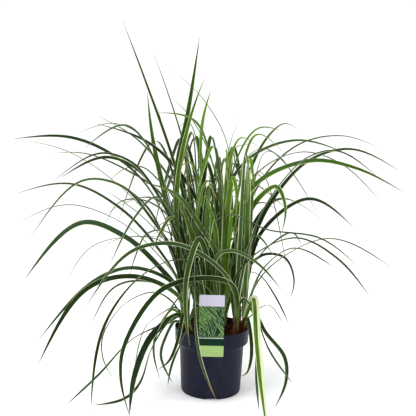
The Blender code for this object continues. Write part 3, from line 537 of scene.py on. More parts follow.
def smooth_line(points, count=0):
    """Stations on a smooth curve through the points, closer where it bends, and each one's share
    of the curve's length."""
    pts = np.array([tuple(p) for p in points], float)
    gaps = np.sqrt(np.linalg.norm(np.diff(pts, axis=0), axis=1))
    knots = np.concatenate([[0.0], np.cumsum(gaps)])
    slopes = np.empty_like(pts)
    steps = np.diff(pts, axis=0) / np.diff(knots)[:, None]
    ahead, behind = gaps[1:, None], gaps[:-1, None]
    slopes[1:-1] = (steps[:-1] * ahead + steps[1:] * behind) / (ahead + behind)
    slopes[0] = 2 * steps[0] - slopes[1]
    slopes[-1] = 1.5 * steps[-1] - 0.5 * slopes[-2]
    slopes[0, :2] *= 0.5
    line = [pts[0]]
    for i, gap in enumerate(gaps):
        for t in np.linspace(0, 1, 17)[1:]:
            a = (1 + 2 * t) * (1 - t) ** 2
            b = t * (1 - t) ** 2 * gap
            c = t * t * (3 - 2 * t)
            d = t * t * (t - 1) * gap
            line.append(a * pts[i] + b * slopes[i] + c * pts[i + 1] + d * slopes[i + 1])
    line = np.array(line)
    steps = np.diff(line, axis=0)
    lengths = np.linalg.norm(steps, axis=1)
    along = np.concatenate([[0.0], np.cumsum(lengths)]) / lengths.sum()
    heading = steps / lengths[:, None]
    bends = np.arccos(np.clip((heading[1:] * heading[:-1]).sum(axis=1), -1, 1))
    turned = np.concatenate([[0.0], np.cumsum(np.append(bends, 0.0))])
    count = count or int(min(8, max(5, 3.6 + turned[-1] / 0.42)))
    measure = along + BEND_WEIGHT * turned / max(0.3, turned[-1])
    share = np.linspace(0, measure[-1], count)
    stations = np.stack([np.interp(share, measure, line[:, axis]) for axis in range(3)], 1)
    return stations, np.interp(share, measure, along)


def blade_width(share):
    """Width along a leaf as a share of its full width: narrow in the sheath, long point at the tip."""
    if share < FULL_WIDTH_AT:
        rise = share / FULL_WIDTH_AT
        return ROOT_WIDTH + (1.0 - ROOT_WIDTH) * rise * rise * (3 - 2 * rise)
    return 1.0 - ((share - FULL_WIDTH_AT) / (1.0 - FULL_WIDTH_AT)) ** 3.6


def blade_frames(line, shares, turn_low, turn_tip, seen):
    """Across and over directions at each station of a leaf, turned about its line. The turn is from
    edge-on to the spot in front for a leaf seen from there, and from level for the others."""
    tangents = np.gradient(line, axis=0)
    tangents /= np.linalg.norm(tangents, axis=1)[:, None]
    level = np.cross(line[-1] - line[0], (0.0, 0.0, 1.0))
    frames = []
    for i, tangent in enumerate(tangents):
        side = np.array(EYE) - line[i] if seen else level
        across = side - tangent * side.dot(tangent)
        across /= np.linalg.norm(across)
        over = np.cross(across, tangent)
        angle = math.radians(turn_low + (turn_tip - turn_low) * shares[i])
        frames.append(
            (
                across * math.cos(angle) + over * math.sin(angle),
                over * math.cos(angle) - across * math.sin(angle),
            )
        )
    return frames


def leaf_points(leaf, shift):
    """The line's points: rooted in the sheath, its depth growing evenly along the leaf."""
    shoot, depth, points = leaf["shoot"], leaf["depth"] + shift, leaf["points"]
    root = sheath_spot(SHOOTS[shoot], leaf["rise"])
    pairs = [(points[i], points[i + 1]) for i in range(0, len(points), 2)]
    flat = [(root.x * 100, root.z * 100)] + pairs
    lengths = [math.dist(a, b) for a, b in zip(flat, flat[1:])]
    made, run = [root], 0.0
    for (across, up), length in zip(pairs, lengths):
        run += length
        share = run / sum(lengths)
        toward = root.y + (depth / 100 - root.y) * share**1.15
        made.append(seen_at(across, up, toward))
    return made


def fill_points(shoot, bearing, reach, height, droop):
    """A leaf by rule: rises out of the sheath, arches over and hangs toward its tip."""
    out = Vector((math.cos(bearing), math.sin(bearing), 0.0))
    root = sheath_spot(SHOOTS[shoot], 0.03)
    up = Vector((0, 0, 1))
    return [
        root + out * reach * 0.14 + up * height * 0.55,
        root + out * reach * 0.48 + up * height,
        root + out * reach + up * (height - droop),
    ]


def deepened(depth):
    """A tip's depth as read, drawn out for a round crown, less so where it is far forward."""
    if depth > FAR_FORWARD:
        return depth * DEEPEN
    return FAR_FORWARD * DEEPEN + (depth - FAR_FORWARD) * 0.76


def turned_more(degrees, draw):
    """A blade's turn as read, to one side or the other, brought round so that it shows its width."""
    return (TURN_MORE[0] + TURN_MORE[1] * degrees) * draw.choice((-1, 1))


def leaf_list():
    """Every leaf of the plant: those seen first, then those by rule, three-ranked round each shoot."""
    draw = random.Random(LEAF_SEED)
    leaves = []
    for row in LEAVES:
        leaves.append(
            {
                "shoot": row[0] - 1,
                "depth": deepened(row[1]),
                "width": (WIDEN[0] + WIDEN[1] * row[2]) / 1000,
                "turn": (turned_more(row[3], draw), turned_more(row[4], draw), True),
                "points": row[5:],
                "rise": draw.uniform(0.004, 0.036),
            }
        )
    for number, count in enumerate(FILL):
        rear = SHOOTS[number][1] > REAR_BEYOND
        for k in range(count):
            spread = (k * GOLDEN + 0.13 * number) % 1.0 - 0.5
            rank = math.pi / 2 + spread * 1.9 if rear else spread * 6.283 + number
            reach = FILL_REACH if rear else FILL_REACH_CORE
            leaves.append(
                {
                    "shoot": number,
                    "bearing": rank + draw.uniform(-0.15, 0.15),
                    "reach": draw.uniform(*reach) / 100,
                    "height": draw.uniform(0.18, 0.42),
                    "width": draw.uniform(0.008, 0.013),
                    "turn": (draw.uniform(-70, 70), draw.uniform(-50, 50), False),
                    "rise": draw.uniform(0.004, 0.034),
                    "sag": draw.uniform(0.1, 0.8) if rear else draw.uniform(0.0, 0.3),
                }
            )
    return leaves


def try_points(leaf, attempt):
    """The points of a leaf's line on a try, each try bent a little further to one side or the
    other."""
    side = (attempt + 1) // 2 * (1 if attempt % 2 else -1)
    if "points" in leaf:
        return leaf_points(leaf, side * 0.7)
    bearing = leaf["bearing"] + side * 0.06
    droop = leaf["sag"] * leaf["height"]
    points = [sheath_spot(SHOOTS[leaf["shoot"]], leaf["rise"])]
    return points + fill_points(leaf["shoot"], bearing, leaf["reach"], leaf["height"], droop)


def line_through(points, count=0):
    """A smooth line through the points that stays above the floor, and its stations' shares."""
    line, shares = smooth_line(points, count)
    line[:, 2] = np.maximum(line[:, 2], LEAST_HEIGHT)
    return line, shares


def settled_points(leaf, tree):
    """The points of the first try that lies on the shoot's solid, or none where no try does."""
    for attempt in range(TRIES):
        points = try_points(leaf, attempt)
        line = line_through(points)[0]
        outer = line[len(line) // 2 :]
        if all(tree.find_nearest(Vector(p))[3] < FOLLOW for p in outer):
            return points
    return None


def mesh_of(bm, name):
    """A mesh with the shape's faces. The shape is freed."""
    mesh = bpy.data.meshes.new(name)
    bm.to_mesh(mesh)
    bm.free()
    return mesh


def new_object(name, data):
    """A new object, put into the scene."""
    obj = bpy.data.objects.new(name, data)
    bpy.context.scene.collection.objects.link(obj)
    return obj


def new_shape():
    """An empty shape, its layer for the looks of its points and its layer for the map."""
    bm = bmesh.new()
    return bm, bm.verts.layers.float_color.new("blade_look"), bm.loops.layers.uv.new("blade")


def tube(sides, stations):
    """A closed tube of radius 1 and length 1 about the middle, with stations along it."""
    bm, own, uv = new_shape()
    bmesh.ops.create_cone(bm, cap_ends=True, segments=sides, radius1=1.0, radius2=1.0, depth=1.0)
    long_edges = [e for e in bm.edges if abs(e.verts[0].co.z - e.verts[1].co.z) > 0.5]
    bmesh.ops.subdivide_edges(bm, edges=long_edges, cuts=stations - 2, use_grid_fill=True)
    return bm, own, uv


def finish_piece(bm, name, mats, nodes, sharp=40.0):
    """Makes the mesh an object with the materials, that rides on the part and stands for the CAD nodes.
    """
    bm.normal_update()
    mesh = mesh_of(bm, name)
    for mat in mats:
        mesh.materials.append(mat)
    for face in mesh.polygons:
        face.use_smooth = True
    mesh.set_sharp_from_angle(angle=math.radians(sharp))
    obj = new_object(name, mesh)
    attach(obj, "root")
    if nodes:
        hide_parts(*nodes)
    return obj


def face_outward(bm):
    """Turns the faces of one closed shape outward."""
    bmesh.ops.recalc_face_normals(bm, faces=bm.faces)
    bm.normal_update()
    if bm.calc_volume(signed=True) < 0:
        bmesh.ops.reverse_faces(bm, faces=bm.faces)


def rounded(bm, geom, offset, affect):
    """Rounds some edges or corners by an offset."""
    bmesh.ops.bevel(
        bm,
        geom=geom,
        offset=offset,
        offset_type="OFFSET",
        segments=4,
        profile=0.5,
        affect=affect,
        material=-1,
    )


def join_into(bm, part):
    """Adds one bmesh to another and frees it."""
    mesh = mesh_of(part, "part")
    bm.from_mesh(mesh)
    bpy.data.meshes.remove(mesh)


def ribbon(line, shares, frames, section, look, sides=16, slot=0):
    """A closed blade on its line. section gives, for a station and a share across of -1 to 1, the
    half width, the drop of the fold and the thickness there. look is kept on its points."""
    count = len(line)
    bm, own, uv = tube(sides, count)
    quarter = sides // 4
    places = {}
    for vert in bm.verts:
        i = int(round((vert.co.z + 0.5) * (count - 1)))
        j = int(round(math.atan2(vert.co.x, vert.co.y) / math.tau * sides)) % sides
        across, upper = (j, False) if j <= quarter else (2 * quarter - j, True)
        if j > 3 * quarter:
            across, upper = j - 4 * quarter, False
        share = math.sin(across / quarter * math.pi / 2)
        places[vert] = (i, share, upper)
        half, drop, thick = section(i, share)
        aside, over = frames[i]
        lift = (0.5 if upper else -0.5) * thick - drop
        vert.co = Vector(line[i] + aside * half * share + over * lift)
        vert[own] = look
    for face in bm.faces:
        face.material_index = slot
        below = sum(not places[v][2] for v in face.verts) > len(face.verts) / 2
        for loop in face.loops:
            i, share, _ = places[loop.vert]
            loop[uv].uv = ((share + 1) / 2 + (2.0 if below else 0.0), shares[i])
    face_outward(bm)
    return bm


def blade(line, shares, leaf, settings, look):
    """A living blade: keeled and folded, folded tight where it leaves the sheath, thin to the edges."""
    frames = blade_frames(line, shares, *leaf["turn"])

    def section(i, share):
        half = max(0.00035, leaf["width"] * blade_width(shares[i]) / 2)
        tight = max(0.0, 1.0 - shares[i] / 0.16) ** 2
        fold = half * (settings.fold + 0.5 * tight)
        shoulder = 0.10 * half * math.sin(math.pi * abs(share))
        thick = min(settings.thickness, half * 0.9) * (1.0 - 0.75 * share * share)
        return half * (1.0 - 0.2 * tight), fold * (1.0 - abs(share)) - shoulder, thick

    return ribbon(line, shares, frames, section, look)


def scale_line(shoot, bearing, low, high, lean):
    """A short line up the side of a sheath that leans away from it at its tip."""
    out = np.array((math.cos(bearing), math.sin(bearing) * 0.9, 0.0))
    points = []
    for share in np.linspace(0, 1, 7):
        height = low + (high - low) * share
        spot = np.array(sheath_spot(shoot, height))
        radius = SHEATH_RADIUS * (1.04 - 0.28 * max(0.0, height) / SHEATH_RISE) + lean * share**2.5
        points.append(spot + out * radius)
    return np.array(points), np.linspace(0, 1, 7), out


def basal_scale(shoot, bearing, low, high, lean, width, tone):
    """One old scale that clasps the foot of a shoot and ends in a point."""
    line, shares, out = scale_line(shoot, bearing, low, high, lean)
    aside = np.array((-math.sin(bearing), math.cos(bearing), 0.0))
    frames = [(aside, out)] * len(line)

    def section(i, share):
        half = max(0.0003, width / 2 * (1.0 - shares[i] ** 1.6))
        clasp = half * half / SHEATH_RADIUS * 0.55 * share * share
        return half, clasp, 0.0004 * (1.0 - 0.6 * share * share)

    return ribbon(line, shares, frames, section, (tone, 0.2, 0.5, 0.0), sides=8, slot=2)


def sheath(shoot, turn):
    """The clasped leaf bases of a shoot: three-cornered, ribbed, slimmer upward."""
    foot, _, ground = sheath_axis(shoot)
    bm = tube(24, 13)[0]
    low = foot.z - ground
    for vert in bm.verts:
        share = vert.co.z + 0.5
        height = low + (SHEATH_RISE * 1.04 - low) * share
        around = math.atan2(vert.co.y, vert.co.x)
        slim = 1.0 - 0.45 * max(0.0, height / SHEATH_RISE) ** 1.6
        corner = 1.0 + 0.10 * math.cos(3 * around + turn + height * 22) + 0.03 * math.cos(8 * around)
        slim *= 1.0 - 0.85 * max(0.0, (share - 0.72) / 0.28) ** 2
        radius = SHEATH_RADIUS * 0.92 * slim * corner
        spot = sheath_spot(shoot, height)
        vert.co = spot + Vector((math.cos(around) * radius, math.sin(around) * radius * 0.92, 0.0))
    for face in bm.faces:
        face.material_index = 1
    face_outward(bm)
    return bm


def is_pale(leaf):
    """Whether this is the pale leaf at the lower right."""
    return leaf["shoot"] == PALE_SHOOT and "points" in leaf and leaf["points"][-1] < PALE_TIP


def youth_of(leaf, line):
    """How young a leaf is, from 0 to 1: the upright blades that aren't full-grown are the youngest."""
    reach = math.hypot(line[-1][0] - line[0][0], line[-1][1] - line[0][1])
    length = np.linalg.norm(np.diff(line, axis=0), axis=1).sum()
    upright = max(0.0, 1.0 - 2.6 * reach / max(0.05, length))
    if is_pale(leaf):
        return PALE_YOUTH
    youth = min(1.0, upright * 1.5) * min(1.0, max(0.15, (0.66 - length) / 0.18))
    return min(1.0, youth + (YOUNGER if leaf["shoot"] in YOUNG_SHOOTS else 0.0))


def shoot_mesh(number, leaves, settings, draw):
    """All blades, the sheath and the old scales of one shoot."""
    shoot = SHOOTS[number]
    bm = sheath(shoot, draw.uniform(0, 6.28))
    for leaf, points in leaves:
        line, shares = line_through(points, settings.stations)
        edge = settings.margin / leaf["width"] * (PALE_EDGES if is_pale(leaf) else 1.0)
        edges = [edge * draw.uniform(0.2, 0.6), edge * draw.uniform(0.7, 1.7)]
        draw.shuffle(edges)
        look = (draw.random(), *edges, youth_of(leaf, line))
        join_into(bm, blade(line, shares, leaf, settings, look))
    for _ in range(SCALES):
        bearing = draw.uniform(0, 6.28)
        high = draw.uniform(0.014, 0.036) * (SCALY_HIGHER if number in SCALY else 1.0)
        lean = draw.uniform(0.0005, 0.006)
        width = draw.uniform(0.003, 0.009)
        join_into(bm, basal_scale(shoot, bearing, -0.004, high, lean, width, draw.random()))
    for _ in range(SCALE_FIBRES):
        bearing = draw.uniform(0, 6.28)
        high = draw.uniform(0.006, 0.030)
        lean = draw.uniform(0.002, 0.014)
        join_into(bm, basal_scale(shoot, bearing, -0.002, high, lean, 0.0009, draw.random()))
    return bm


class SEDGE_OT_shoots(bpy.types.Operator):
    """Make the sixteen leafy shoots"""

    bl_idname = "sedge.shoots"
    bl_label = "Leafy shoots"

    def execute(self, context):
        settings, bases = context.scene.sedge_leaves, context.scene.sedge_bases
        mats = [blade_material(settings), sheath_material(bases), scale_material(bases)]
        draw = random.Random(LOOK_SEED)
        leaves = leaf_list()
        for number in range(len(SHOOTS)):
            node = f"shoot_{number + 1:02d}"
            tree = tree_of_node(node)
            mine = [leaf for leaf in leaves if leaf["shoot"] == number]
            found = [(leaf, settled_points(leaf, tree)) for leaf in mine]
            kept = [(leaf, points) for leaf, points in found if points]
            if len(kept) < FEWEST_LEAVES:
                raise RuntimeError(f"{node} has only {len(kept)} leaves on its solid")
            print(node, len(kept), "of", len(mine), "leaves")
            bm = shoot_mesh(number, kept, settings, draw)
            finish_piece(bm, f"leafy_{node}", mats, [node], 32.0)
        return {"FINISHED"}


def tree_of_node(node):
    """The CAD node's faces, to look up how near a spot lies to them."""
    bm = bmesh.new()
    bm.from_mesh(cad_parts[node].data)
    tree = BVHTree.FromBMesh(bm)
    bm.free()
    return tree


def peat_material(look):
    """Damp peat and bark dust: nearly black, rough crumbs of 2 to 3 mm with brown specks, and painted
    shade, the darkest colour, in the hollows between the crumbs.
    """
    mat, add, shader = new_material("peat_damp", 0.95, 1.4, 0.06)
    place = add("TexCoord", out="Object")
    crumb = add("TexNoise", {"Vector": place, "Scale": 420.0, "Detail": 4.0, "Roughness": 0.65})
    speck = add("TexVoronoi", {"Vector": place, "Scale": 620.0}, "Distance")
    body = layered(
        add,
        # painted shade: where the crumbs' relief is low, in their hollows, the darkest colour shows
        look.shade_and_dark_grain,
        (crumb, 0.42, 0.66, 0.0, 1.0, look.peat),
        (speck, 0.06, 0.30, 0.5, 0.0, look.bark),
    )
    wear(add, shader, body, crumb, 1.2, 0.9)
    return mat


def bark_material(look):
    """Composted pine bark: matt, with a grain of about 1 mm, from near black to rust where it
    broke fresh."""
    mat, add, shader = new_material("bark_composted", 0.85, 1.45, 0.08)
    place = add("TexCoord", out="Object")
    own = add("Attribute", attribute_name="blade_look", out="Color")
    tone = add("SeparateColor", [own])
    grain = add("TexNoise", {"Vector": place, "Scale": 900.0, "Detail": 4.0, "Roughness": 0.6})
    body = layered(
        add,
        look.peat,
        (tone, 0.15, 0.75, 0.0, 1.0, look.bark),
        (tone, 0.80, 0.95, 0.0, 1.0, look.rust),
        # the darkest colour here tints the raised grain of the chips
        (grain, 0.42, 0.62, 0.0, 0.6, look.shade_and_dark_grain),
    )
    wear(add, shader, body, grain, 0.5, 0.8)
    return mat


def chip(draw, length):
    """One bark chip: a flat broken block with a wandering outline."""
    bm, own, _ = new_shape()
    bmesh.ops.create_cube(bm, size=1.0)
    bmesh.ops.subdivide_edges(bm, edges=list(bm.edges), cuts=1, use_grid_fill=True)
    size = Vector((length, length * draw.uniform(0.3, 0.7), length * draw.uniform(0.10, 0.26)))
    shift = Vector((draw.uniform(0, 90), draw.uniform(0, 90), 0.0))
    tone = draw.random()
    for vert in bm.verts:
        spot = vert.co * 1.6 + shift
        round_off = 1.0 - 0.22 * (vert.co.length / 0.866) ** 2
        rough = noise.noise_vector(spot) * 0.34
        vert.co = Vector([(vert.co[k] * round_off + rough[k] * 0.6) * size[k] for k in range(3)])
        vert[own] = (tone, 0.0, 0.0, 0.0)
    face_outward(bm)
    return bm


def chips_mesh(look, draw):
    """Bark chips strewn over the soil, thicker round its edge, kept out of the rim."""
    bm = new_shape()[0]
    for _ in range(look.chips):
        length = look.least + (look.most - look.least) * draw.random() ** 2.2
        reach = CHIP_REACH - length * 0.5
        off, bearing = reach * math.sqrt(draw.random()), draw.uniform(0, math.tau)
        x, y = off * math.cos(bearing), off * math.sin(bearing)
        part = chip(draw, length)
        tilt = draw.gauss(0.0, 0.30)
        turn = Matrix.Rotation(draw.uniform(0, math.tau), 3, "Z") @ Matrix.Rotation(tilt, 3, "X")
        turn = turn @ Matrix.Rotation(draw.gauss(0.0, 0.25), 3, "Y")
        bmesh.ops.rotate(part, verts=part.verts, cent=(0, 0, 0), matrix=turn)
        rise = draw.uniform(-0.0008, 0.0038)
        bmesh.ops.translate(part, verts=part.verts, vec=(x, y, soil_height(x, y) + rise))
        join_into(bm, part)
    return bm


def fibre(draw):
    """One root or bark fibre that lies over the chips in a loose curve."""
    off, bearing = CHIP_REACH * 0.9 * math.sqrt(draw.random()), draw.uniform(0, math.tau)
    spot = np.array((off * math.cos(bearing), off * math.sin(bearing)))
    heading, step_long = draw.uniform(0, math.tau), draw.uniform(0.0015, 0.005)
    points = []
    for k in range(9):
        lift = 0.0035 + 0.003 * math.sin(k * 0.8 + bearing)
        points.append((*spot, soil_height(*spot) + lift))
        heading += draw.gauss(0.0, 0.35)
        ahead = spot + step_long * np.array((math.cos(heading), math.sin(heading)))
        if np.linalg.norm(ahead) > CHIP_REACH:
            heading += math.pi * 0.6
            ahead = spot
        spot = ahead + 1e-5
    line, shares = np.array(points), np.linspace(0, 1, 9)
    frames = blade_frames(line, shares, 0.0, 60.0, False)
    width = draw.uniform(0.0003, 0.0008)

    def section(i, share):
        return width * (1.05 - shares[i]), 0.0, width * 0.8

    return ribbon(line, shares, frames, section, (draw.uniform(0.5, 1.0), 0.0, 0.0, 0.0), sides=4)


class SEDGE_OT_soil(bpy.types.Operator):
    """Finish the soil and strew bark chips and fibres over it"""

    bl_idname = "sedge.soil"
    bl_label = "Bark mix"

    def execute(self, context):
        look = context.scene.sedge_soil
        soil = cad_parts["soil"]
        soil.data.materials.clear()
        soil.data.materials.append(peat_material(look))
        draw = random.Random(CHIP_SEED)
        bark = bark_material(look)
        finish_piece(chips_mesh(look, draw), "bark_chips", [bark], [], 30.0)
        bm = new_shape()[0]
        for _ in range(look.fibres):
            join_into(bm, fibre(draw))
        finish_piece(bm, "bark_fibres", [bark], [])
        return {"FINISHED"}


def pot_material(look):
    """Moulded polypropylene: dark blue-grey with a satin skin, soft smudges of dust and dried
    water some 60 mm across, runs and a fine moulded grain."""
    mat, add, shader = new_material("polypropylene_moulded", 0.44, 1.49, 0.10)
    place = add("TexCoord", out="Object")
    wide = add("Mapping", {"Vector": place, "Scale": (16.0, 16.0, 9.0)})
    smudge = {"Vector": wide, "Scale": 1.0, "Detail": 5.0, "Roughness": 0.62, "Distortion": 0.6}
    smudge = add("TexNoise", smudge)
    runs = add("Mapping", {"Vector": place, "Scale": (130.0, 130.0, 14.0)})
    runs = add("TexNoise", {"Vector": runs, "Scale": 1.0, "Detail": 3.0})
    specks = add("TexVoronoi", {"Vector": place, "Scale": 170.0}, "Distance")
    dust = add("MapRange", [smudge, 0.46, 0.78, 0.0, 0.42], interpolation_type="SMOOTHSTEP")
    runs = add("MapRange", [runs, 0.60, 0.80, 0.0, 0.10], interpolation_type="SMOOTHSTEP")
    specks = add("MapRange", [specks, 0.05, 0.11, 0.16, 0.0], interpolation_type="SMOOTHSTEP")
    dust = add("Math", [dust, runs], operation="ADD")
    dust = add("Math", [dust, specks], operation="ADD")
    body = add("Mix", {0: dust, 6: look.plastic, 7: look.scuff}, 2, data_type="RGBA")
    body = layered(add, body, (smudge, 0.28, 0.46, 0.4, 0.0, look.shade))
    rough = add("Math", [smudge, 0.26, 0.30], operation="MULTIPLY_ADD")
    shader.id_data.links.new(rough, shader.inputs["Roughness"])
    grain = add("TexNoise", {"Vector": place, "Scale": 1500.0})
    wear(add, shader, body, grain, 0.05, 0.35)
    return mat


def turned(profile, steps):
    """A closed turned shape from (radius, height) pairs that start and end on the axis."""
    bm = bmesh.new()
    verts = [bm.verts.new((radius, 0.0, height)) for radius, height in profile]
    edges = [bm.edges.new(pair) for pair in zip(verts, verts[1:])]
    bmesh.ops.spin(
        bm,
        geom=verts + edges,
        cent=(0, 0, 0),
        axis=(0, 0, 1),
        angle=math.tau,
        steps=steps,
        use_merge=True,
        use_duplicate=False,
    )
    bmesh.ops.remove_doubles(bm, verts=bm.verts, dist=0.00001)
    face_outward(bm)
    return bm


def pot_profile(look):
    """From the middle of the floor up the inside, over the rim and down the outside."""
    rim, foot, wall, top = look.rim, look.foot, look.wall, look.height
    return [
        (0.0, 0.003),
        (foot - wall - 0.002, 0.003),
        (foot - wall - 0.0006, 0.0042),
        (foot - wall, 0.006),
        (rim - 0.0115 - wall, 0.1075),
        (rim - 0.0015 - wall, 0.1165),
        (rim - wall - 0.0002, top - 0.0012),
        (rim - wall + 0.0001, top - 0.0004),
        (rim - wall + 0.0005, top - 0.0001),
        (rim - 0.0008, top),
        (rim - 0.0003, top - 0.0002),
        (rim, top - 0.0007),
        (rim, top - 0.0026),
        (rim - 0.0004, top - 0.0033),
        (rim - 0.0006, top - 0.0060),
        (rim - 0.0015, 0.1181),
        (rim - 0.0016, 0.1171),
        (rim - 0.0020, 0.1161),
        (rim - 0.0027, 0.1155),
        (rim - 0.0100, 0.1093),
        (rim - 0.0112, 0.1081),
        (rim - 0.0116, 0.1065),
        (rim - 0.0129, 0.0820),
        (rim - 0.0150, 0.0400),
        (foot, 0.0080),
        (foot - 0.0003, 0.0050),
        (foot - 0.0009, 0.0026),
        (foot - 0.0016, 0.0010),
        (foot - 0.0026, 0.0002),
        (foot - 0.0036, 0.0),
        (0.0, 0.0),
    ]


def notch(bearing):
    """A rounded wedge through the foot of the wall, narrower at its top, to cut with."""
    bm = bmesh.new()
    bmesh.ops.create_cube(bm, size=1.0)
    for vert in bm.verts:
        up = vert.co.z > 0
        vert.co.y *= NOTCH_TOP_WIDTH if up else NOTCH_LOW_WIDTH * 1.06
        vert.co.x = 0.058 if vert.co.x < 0 else 0.074
        vert.co.z = NOTCH_HEIGHT if up else -0.001
    top = [e for e in bm.edges if all(v.co.z > 0 for v in e.verts)]
    upper = [e for e in top if abs(e.verts[0].co.x - e.verts[1].co.x) > 0.01]
    rounded(bm, upper, NOTCH_ROUND, "EDGES")
    turn = Matrix.Rotation(math.radians(bearing), 3, "Z")
    bmesh.ops.rotate(bm, verts=bm.verts, cent=(0, 0, 0), matrix=turn)
    return new_object("notch", mesh_of(bm, "notch"))


def cut(bm, cutters):
    """The shape with the cutters taken out of it. The cutters are removed."""
    obj = new_object("cut", mesh_of(bm, "cut"))
    for cutter in cutters:
        made = obj.modifiers.new("notch", "BOOLEAN")
        made.operation = "DIFFERENCE"
        made.solver = "EXACT"
        made.object = cutter
    graph = bpy.context.evaluated_depsgraph_get()
    result = bpy.data.meshes.new_from_object(obj.evaluated_get(graph))
    out = bmesh.new()
    out.from_mesh(result)
    for old in [obj, *cutters]:
        bpy.data.objects.remove(old, do_unlink=True)
    bpy.data.meshes.remove(result)
    return out


class SEDGE_OT_pot(bpy.types.Operator):
    """Make the turned nursery pot with its rolled rim and drainage notches"""

    bl_idname = "sedge.pot"
    bl_label = "Nursery pot"

    def execute(self, context):
        look = context.scene.sedge_pot
        bm = cut(turned(pot_profile(look), 144), [notch(b) for b in NOTCH_BEARINGS])
        if not bm.faces:
            raise RuntimeError("the pot came out empty")
        finish_piece(bm, "nursery_pot", [pot_material(look)], ["pot"], 34.0)
        return {"FINISHED"}


def card_material(look):
    """Coated card, printed: a bare pale head, a panel of long pointed leaves that cross in two
    ways, a dark band and a light band. The back is bare."""
    mat, add, shader = new_material("card_coated_printed", 0.5, 1.5, 0.08)
    uv = add("UVMap", uv_map="card")
    x, y, _ = add("SeparateXYZ", [uv]).node.outputs
    panel = look.ground
    millimetres = add("Mapping", {"Vector": uv, "Scale": CARD_MILLIMETRES})
    # layers of slanting leaves, 6 to 10 mm wide and 56 to 80 mm long, the last on top
    layers = (
        (34.0, 7.0, 62.0, look.blade_deep, 3.0),
        (-24.0, 8.0, 56.0, look.blade_deep, 7.0),
        (-41.0, 9.0, 70.0, look.blade, 2.0),
        (17.0, 10.0, 66.0, look.blade_deep, 5.0),
        (47.0, 12.0, 80.0, look.blade, 9.0),
    )
    for slant, pitch, long, colour, start in layers:
        cell = {
            "Vector": millimetres,
            "Location": (start, start, 0.0),
            "Rotation": (0.0, 0.0, math.radians(slant)),
            "Scale": (pitch, long, 1.0),
        }
        place = add("Mapping", cell, vector_type="TEXTURE")
        a, b, _ = add("SeparateXYZ", [place]).node.outputs
        column = add("Math", [a], operation="FLOOR")
        own = add("TexWhiteNoise", {"W": column}, noise_dimensions="1D")
        b = add("Math", [b, own], operation="ADD")
        bow = add("Math", [b, 0.5], operation="PINGPONG")
        wide = add("MapRange", [bow, 0.0, 0.5, 0.0, 0.42])
        shown = add("Math", [own, 0.36], operation="GREATER_THAN")
        wide = add("Math", [wide, shown], operation="MULTIPLY")
        off = add("Math", [a], operation="FRACT")
        off = add("Math", [off, -0.5], operation="ADD")
        off = add("Math", [off], operation="ABSOLUTE")
        inside = add("Math", [off, wide], operation="LESS_THAN")
        rim = add("Math", [wide, 0.86], operation="MULTIPLY")
        rim = add("Math", [off, rim], operation="GREATER_THAN")
        bright = add("MapRange", [own, 0.0, 1.0, 0.0, 0.8])
        leaf = add("Mix", {0: bright, 6: colour, 7: look.ground}, 2, data_type="RGBA")
        leaf = add("Mix", {0: rim, 6: leaf, 7: look.blade_edge}, 2, data_type="RGBA")
        panel = add("Mix", {0: inside, 6: panel, 7: leaf}, 2, data_type="RGBA")
    bands = (look.foot, look.band, look.line, panel, look.head)
    face = bands[0]
    for level, colour in zip(TAG_LEVELS, bands[1:]):
        above = add("Math", [y, level], operation="GREATER_THAN")
        face = add("Mix", {0: above, 6: face, 7: colour}, 2, data_type="RGBA")
    back = add("Math", [x, 1.5], operation="GREATER_THAN")
    face = add("Mix", {0: back, 6: face, 7: look.head}, 2, data_type="RGBA")
    shader.id_data.links.new(face, shader.inputs["Base Color"])
    return mat


def strip(path, width, thickness, rows):
    """A sheet bent along a path of (y, z) places, given a thickness, with a UV map named card.
    rows is how many divisions it has along the path."""
    bm = bmesh.new()
    bmesh.ops.create_grid(bm, x_segments=10, y_segments=rows, size=0.5)
    corners = [v for v in bm.verts if len(v.link_edges) == 2]
    rounded(bm, corners, 0.03, "VERTICES")
    bmesh.ops.triangulate(bm, faces=[f for f in bm.faces if len(f.verts) > 4])
    places = np.array(path)
    runs = np.concatenate([[0.0], np.cumsum(np.linalg.norm(np.diff(places, axis=0), axis=1))])
    uv = bm.loops.layers.uv.new("card")
    for face in bm.faces:
        for loop in face.loops:
            loop[uv].uv = (loop.vert.co.x + 0.5, loop.vert.co.y + 0.5)
    for vert in bm.verts:
        run = (vert.co.y + 0.5) * runs[-1]
        y = float(np.interp(run, runs, places[:, 0]))
        z = float(np.interp(run, runs, places[:, 1]))
        bow = 0.0010 * (2 * vert.co.x) ** 2
        vert.co = Vector((TAG_MIDDLE + vert.co.x * width, y + bow, z))
    bm.normal_update()
    bmesh.ops.solidify(bm, geom=list(bm.faces), thickness=thickness)
    face_outward(bm)
    bm.normal_update()
    for face in bm.faces:
        if face.normal.y > -0.3:
            for loop in face.loops:
                loop[uv].uv.x += 2.0
    return bm


def saddle_path():
    """Up behind the card, over the rim in a round turn, and down into the soil."""
    path = [(-0.0881, 0.124), (-0.0881, 0.148)]
    middle, radius = (-0.0781, 0.148), 0.0100
    for k in range(1, 12):
        angle = math.pi * k / 12
        path.append((middle[0] - radius * math.cos(angle), middle[1] + radius * 0.84 * math.sin(angle)))
    return path + [(-0.0681, 0.148), (-0.0683, 0.106)]


class SEDGE_OT_tag(bpy.types.Operator):
    """Make the card tag with its strip over the rim"""

    bl_idname = "sedge.tag"
    bl_label = "Card tag"

    def execute(self, context):
        look = context.scene.sedge_tag
        low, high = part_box("label_tag")
        front = low[1] + 0.0002
        path = [(front, TAG_LOW), (front, high[2])]
        bm = strip(path, look.width, look.thickness, 30)
        join_into(bm, strip(saddle_path(), SADDLE_WIDTH, look.thickness, 40))
        finish_piece(bm, "card_tag", [card_material(look)], ["label_tag"], 50.0)
        return {"FINISHED"}


def stage_material(name, colour):
    """Painted studio floor: plain, matt and pale."""
    mat, _, shader = new_material(name, 0.9, 1.45, 0.3)
    shader.inputs["Base Color"].default_value = colour
    return mat


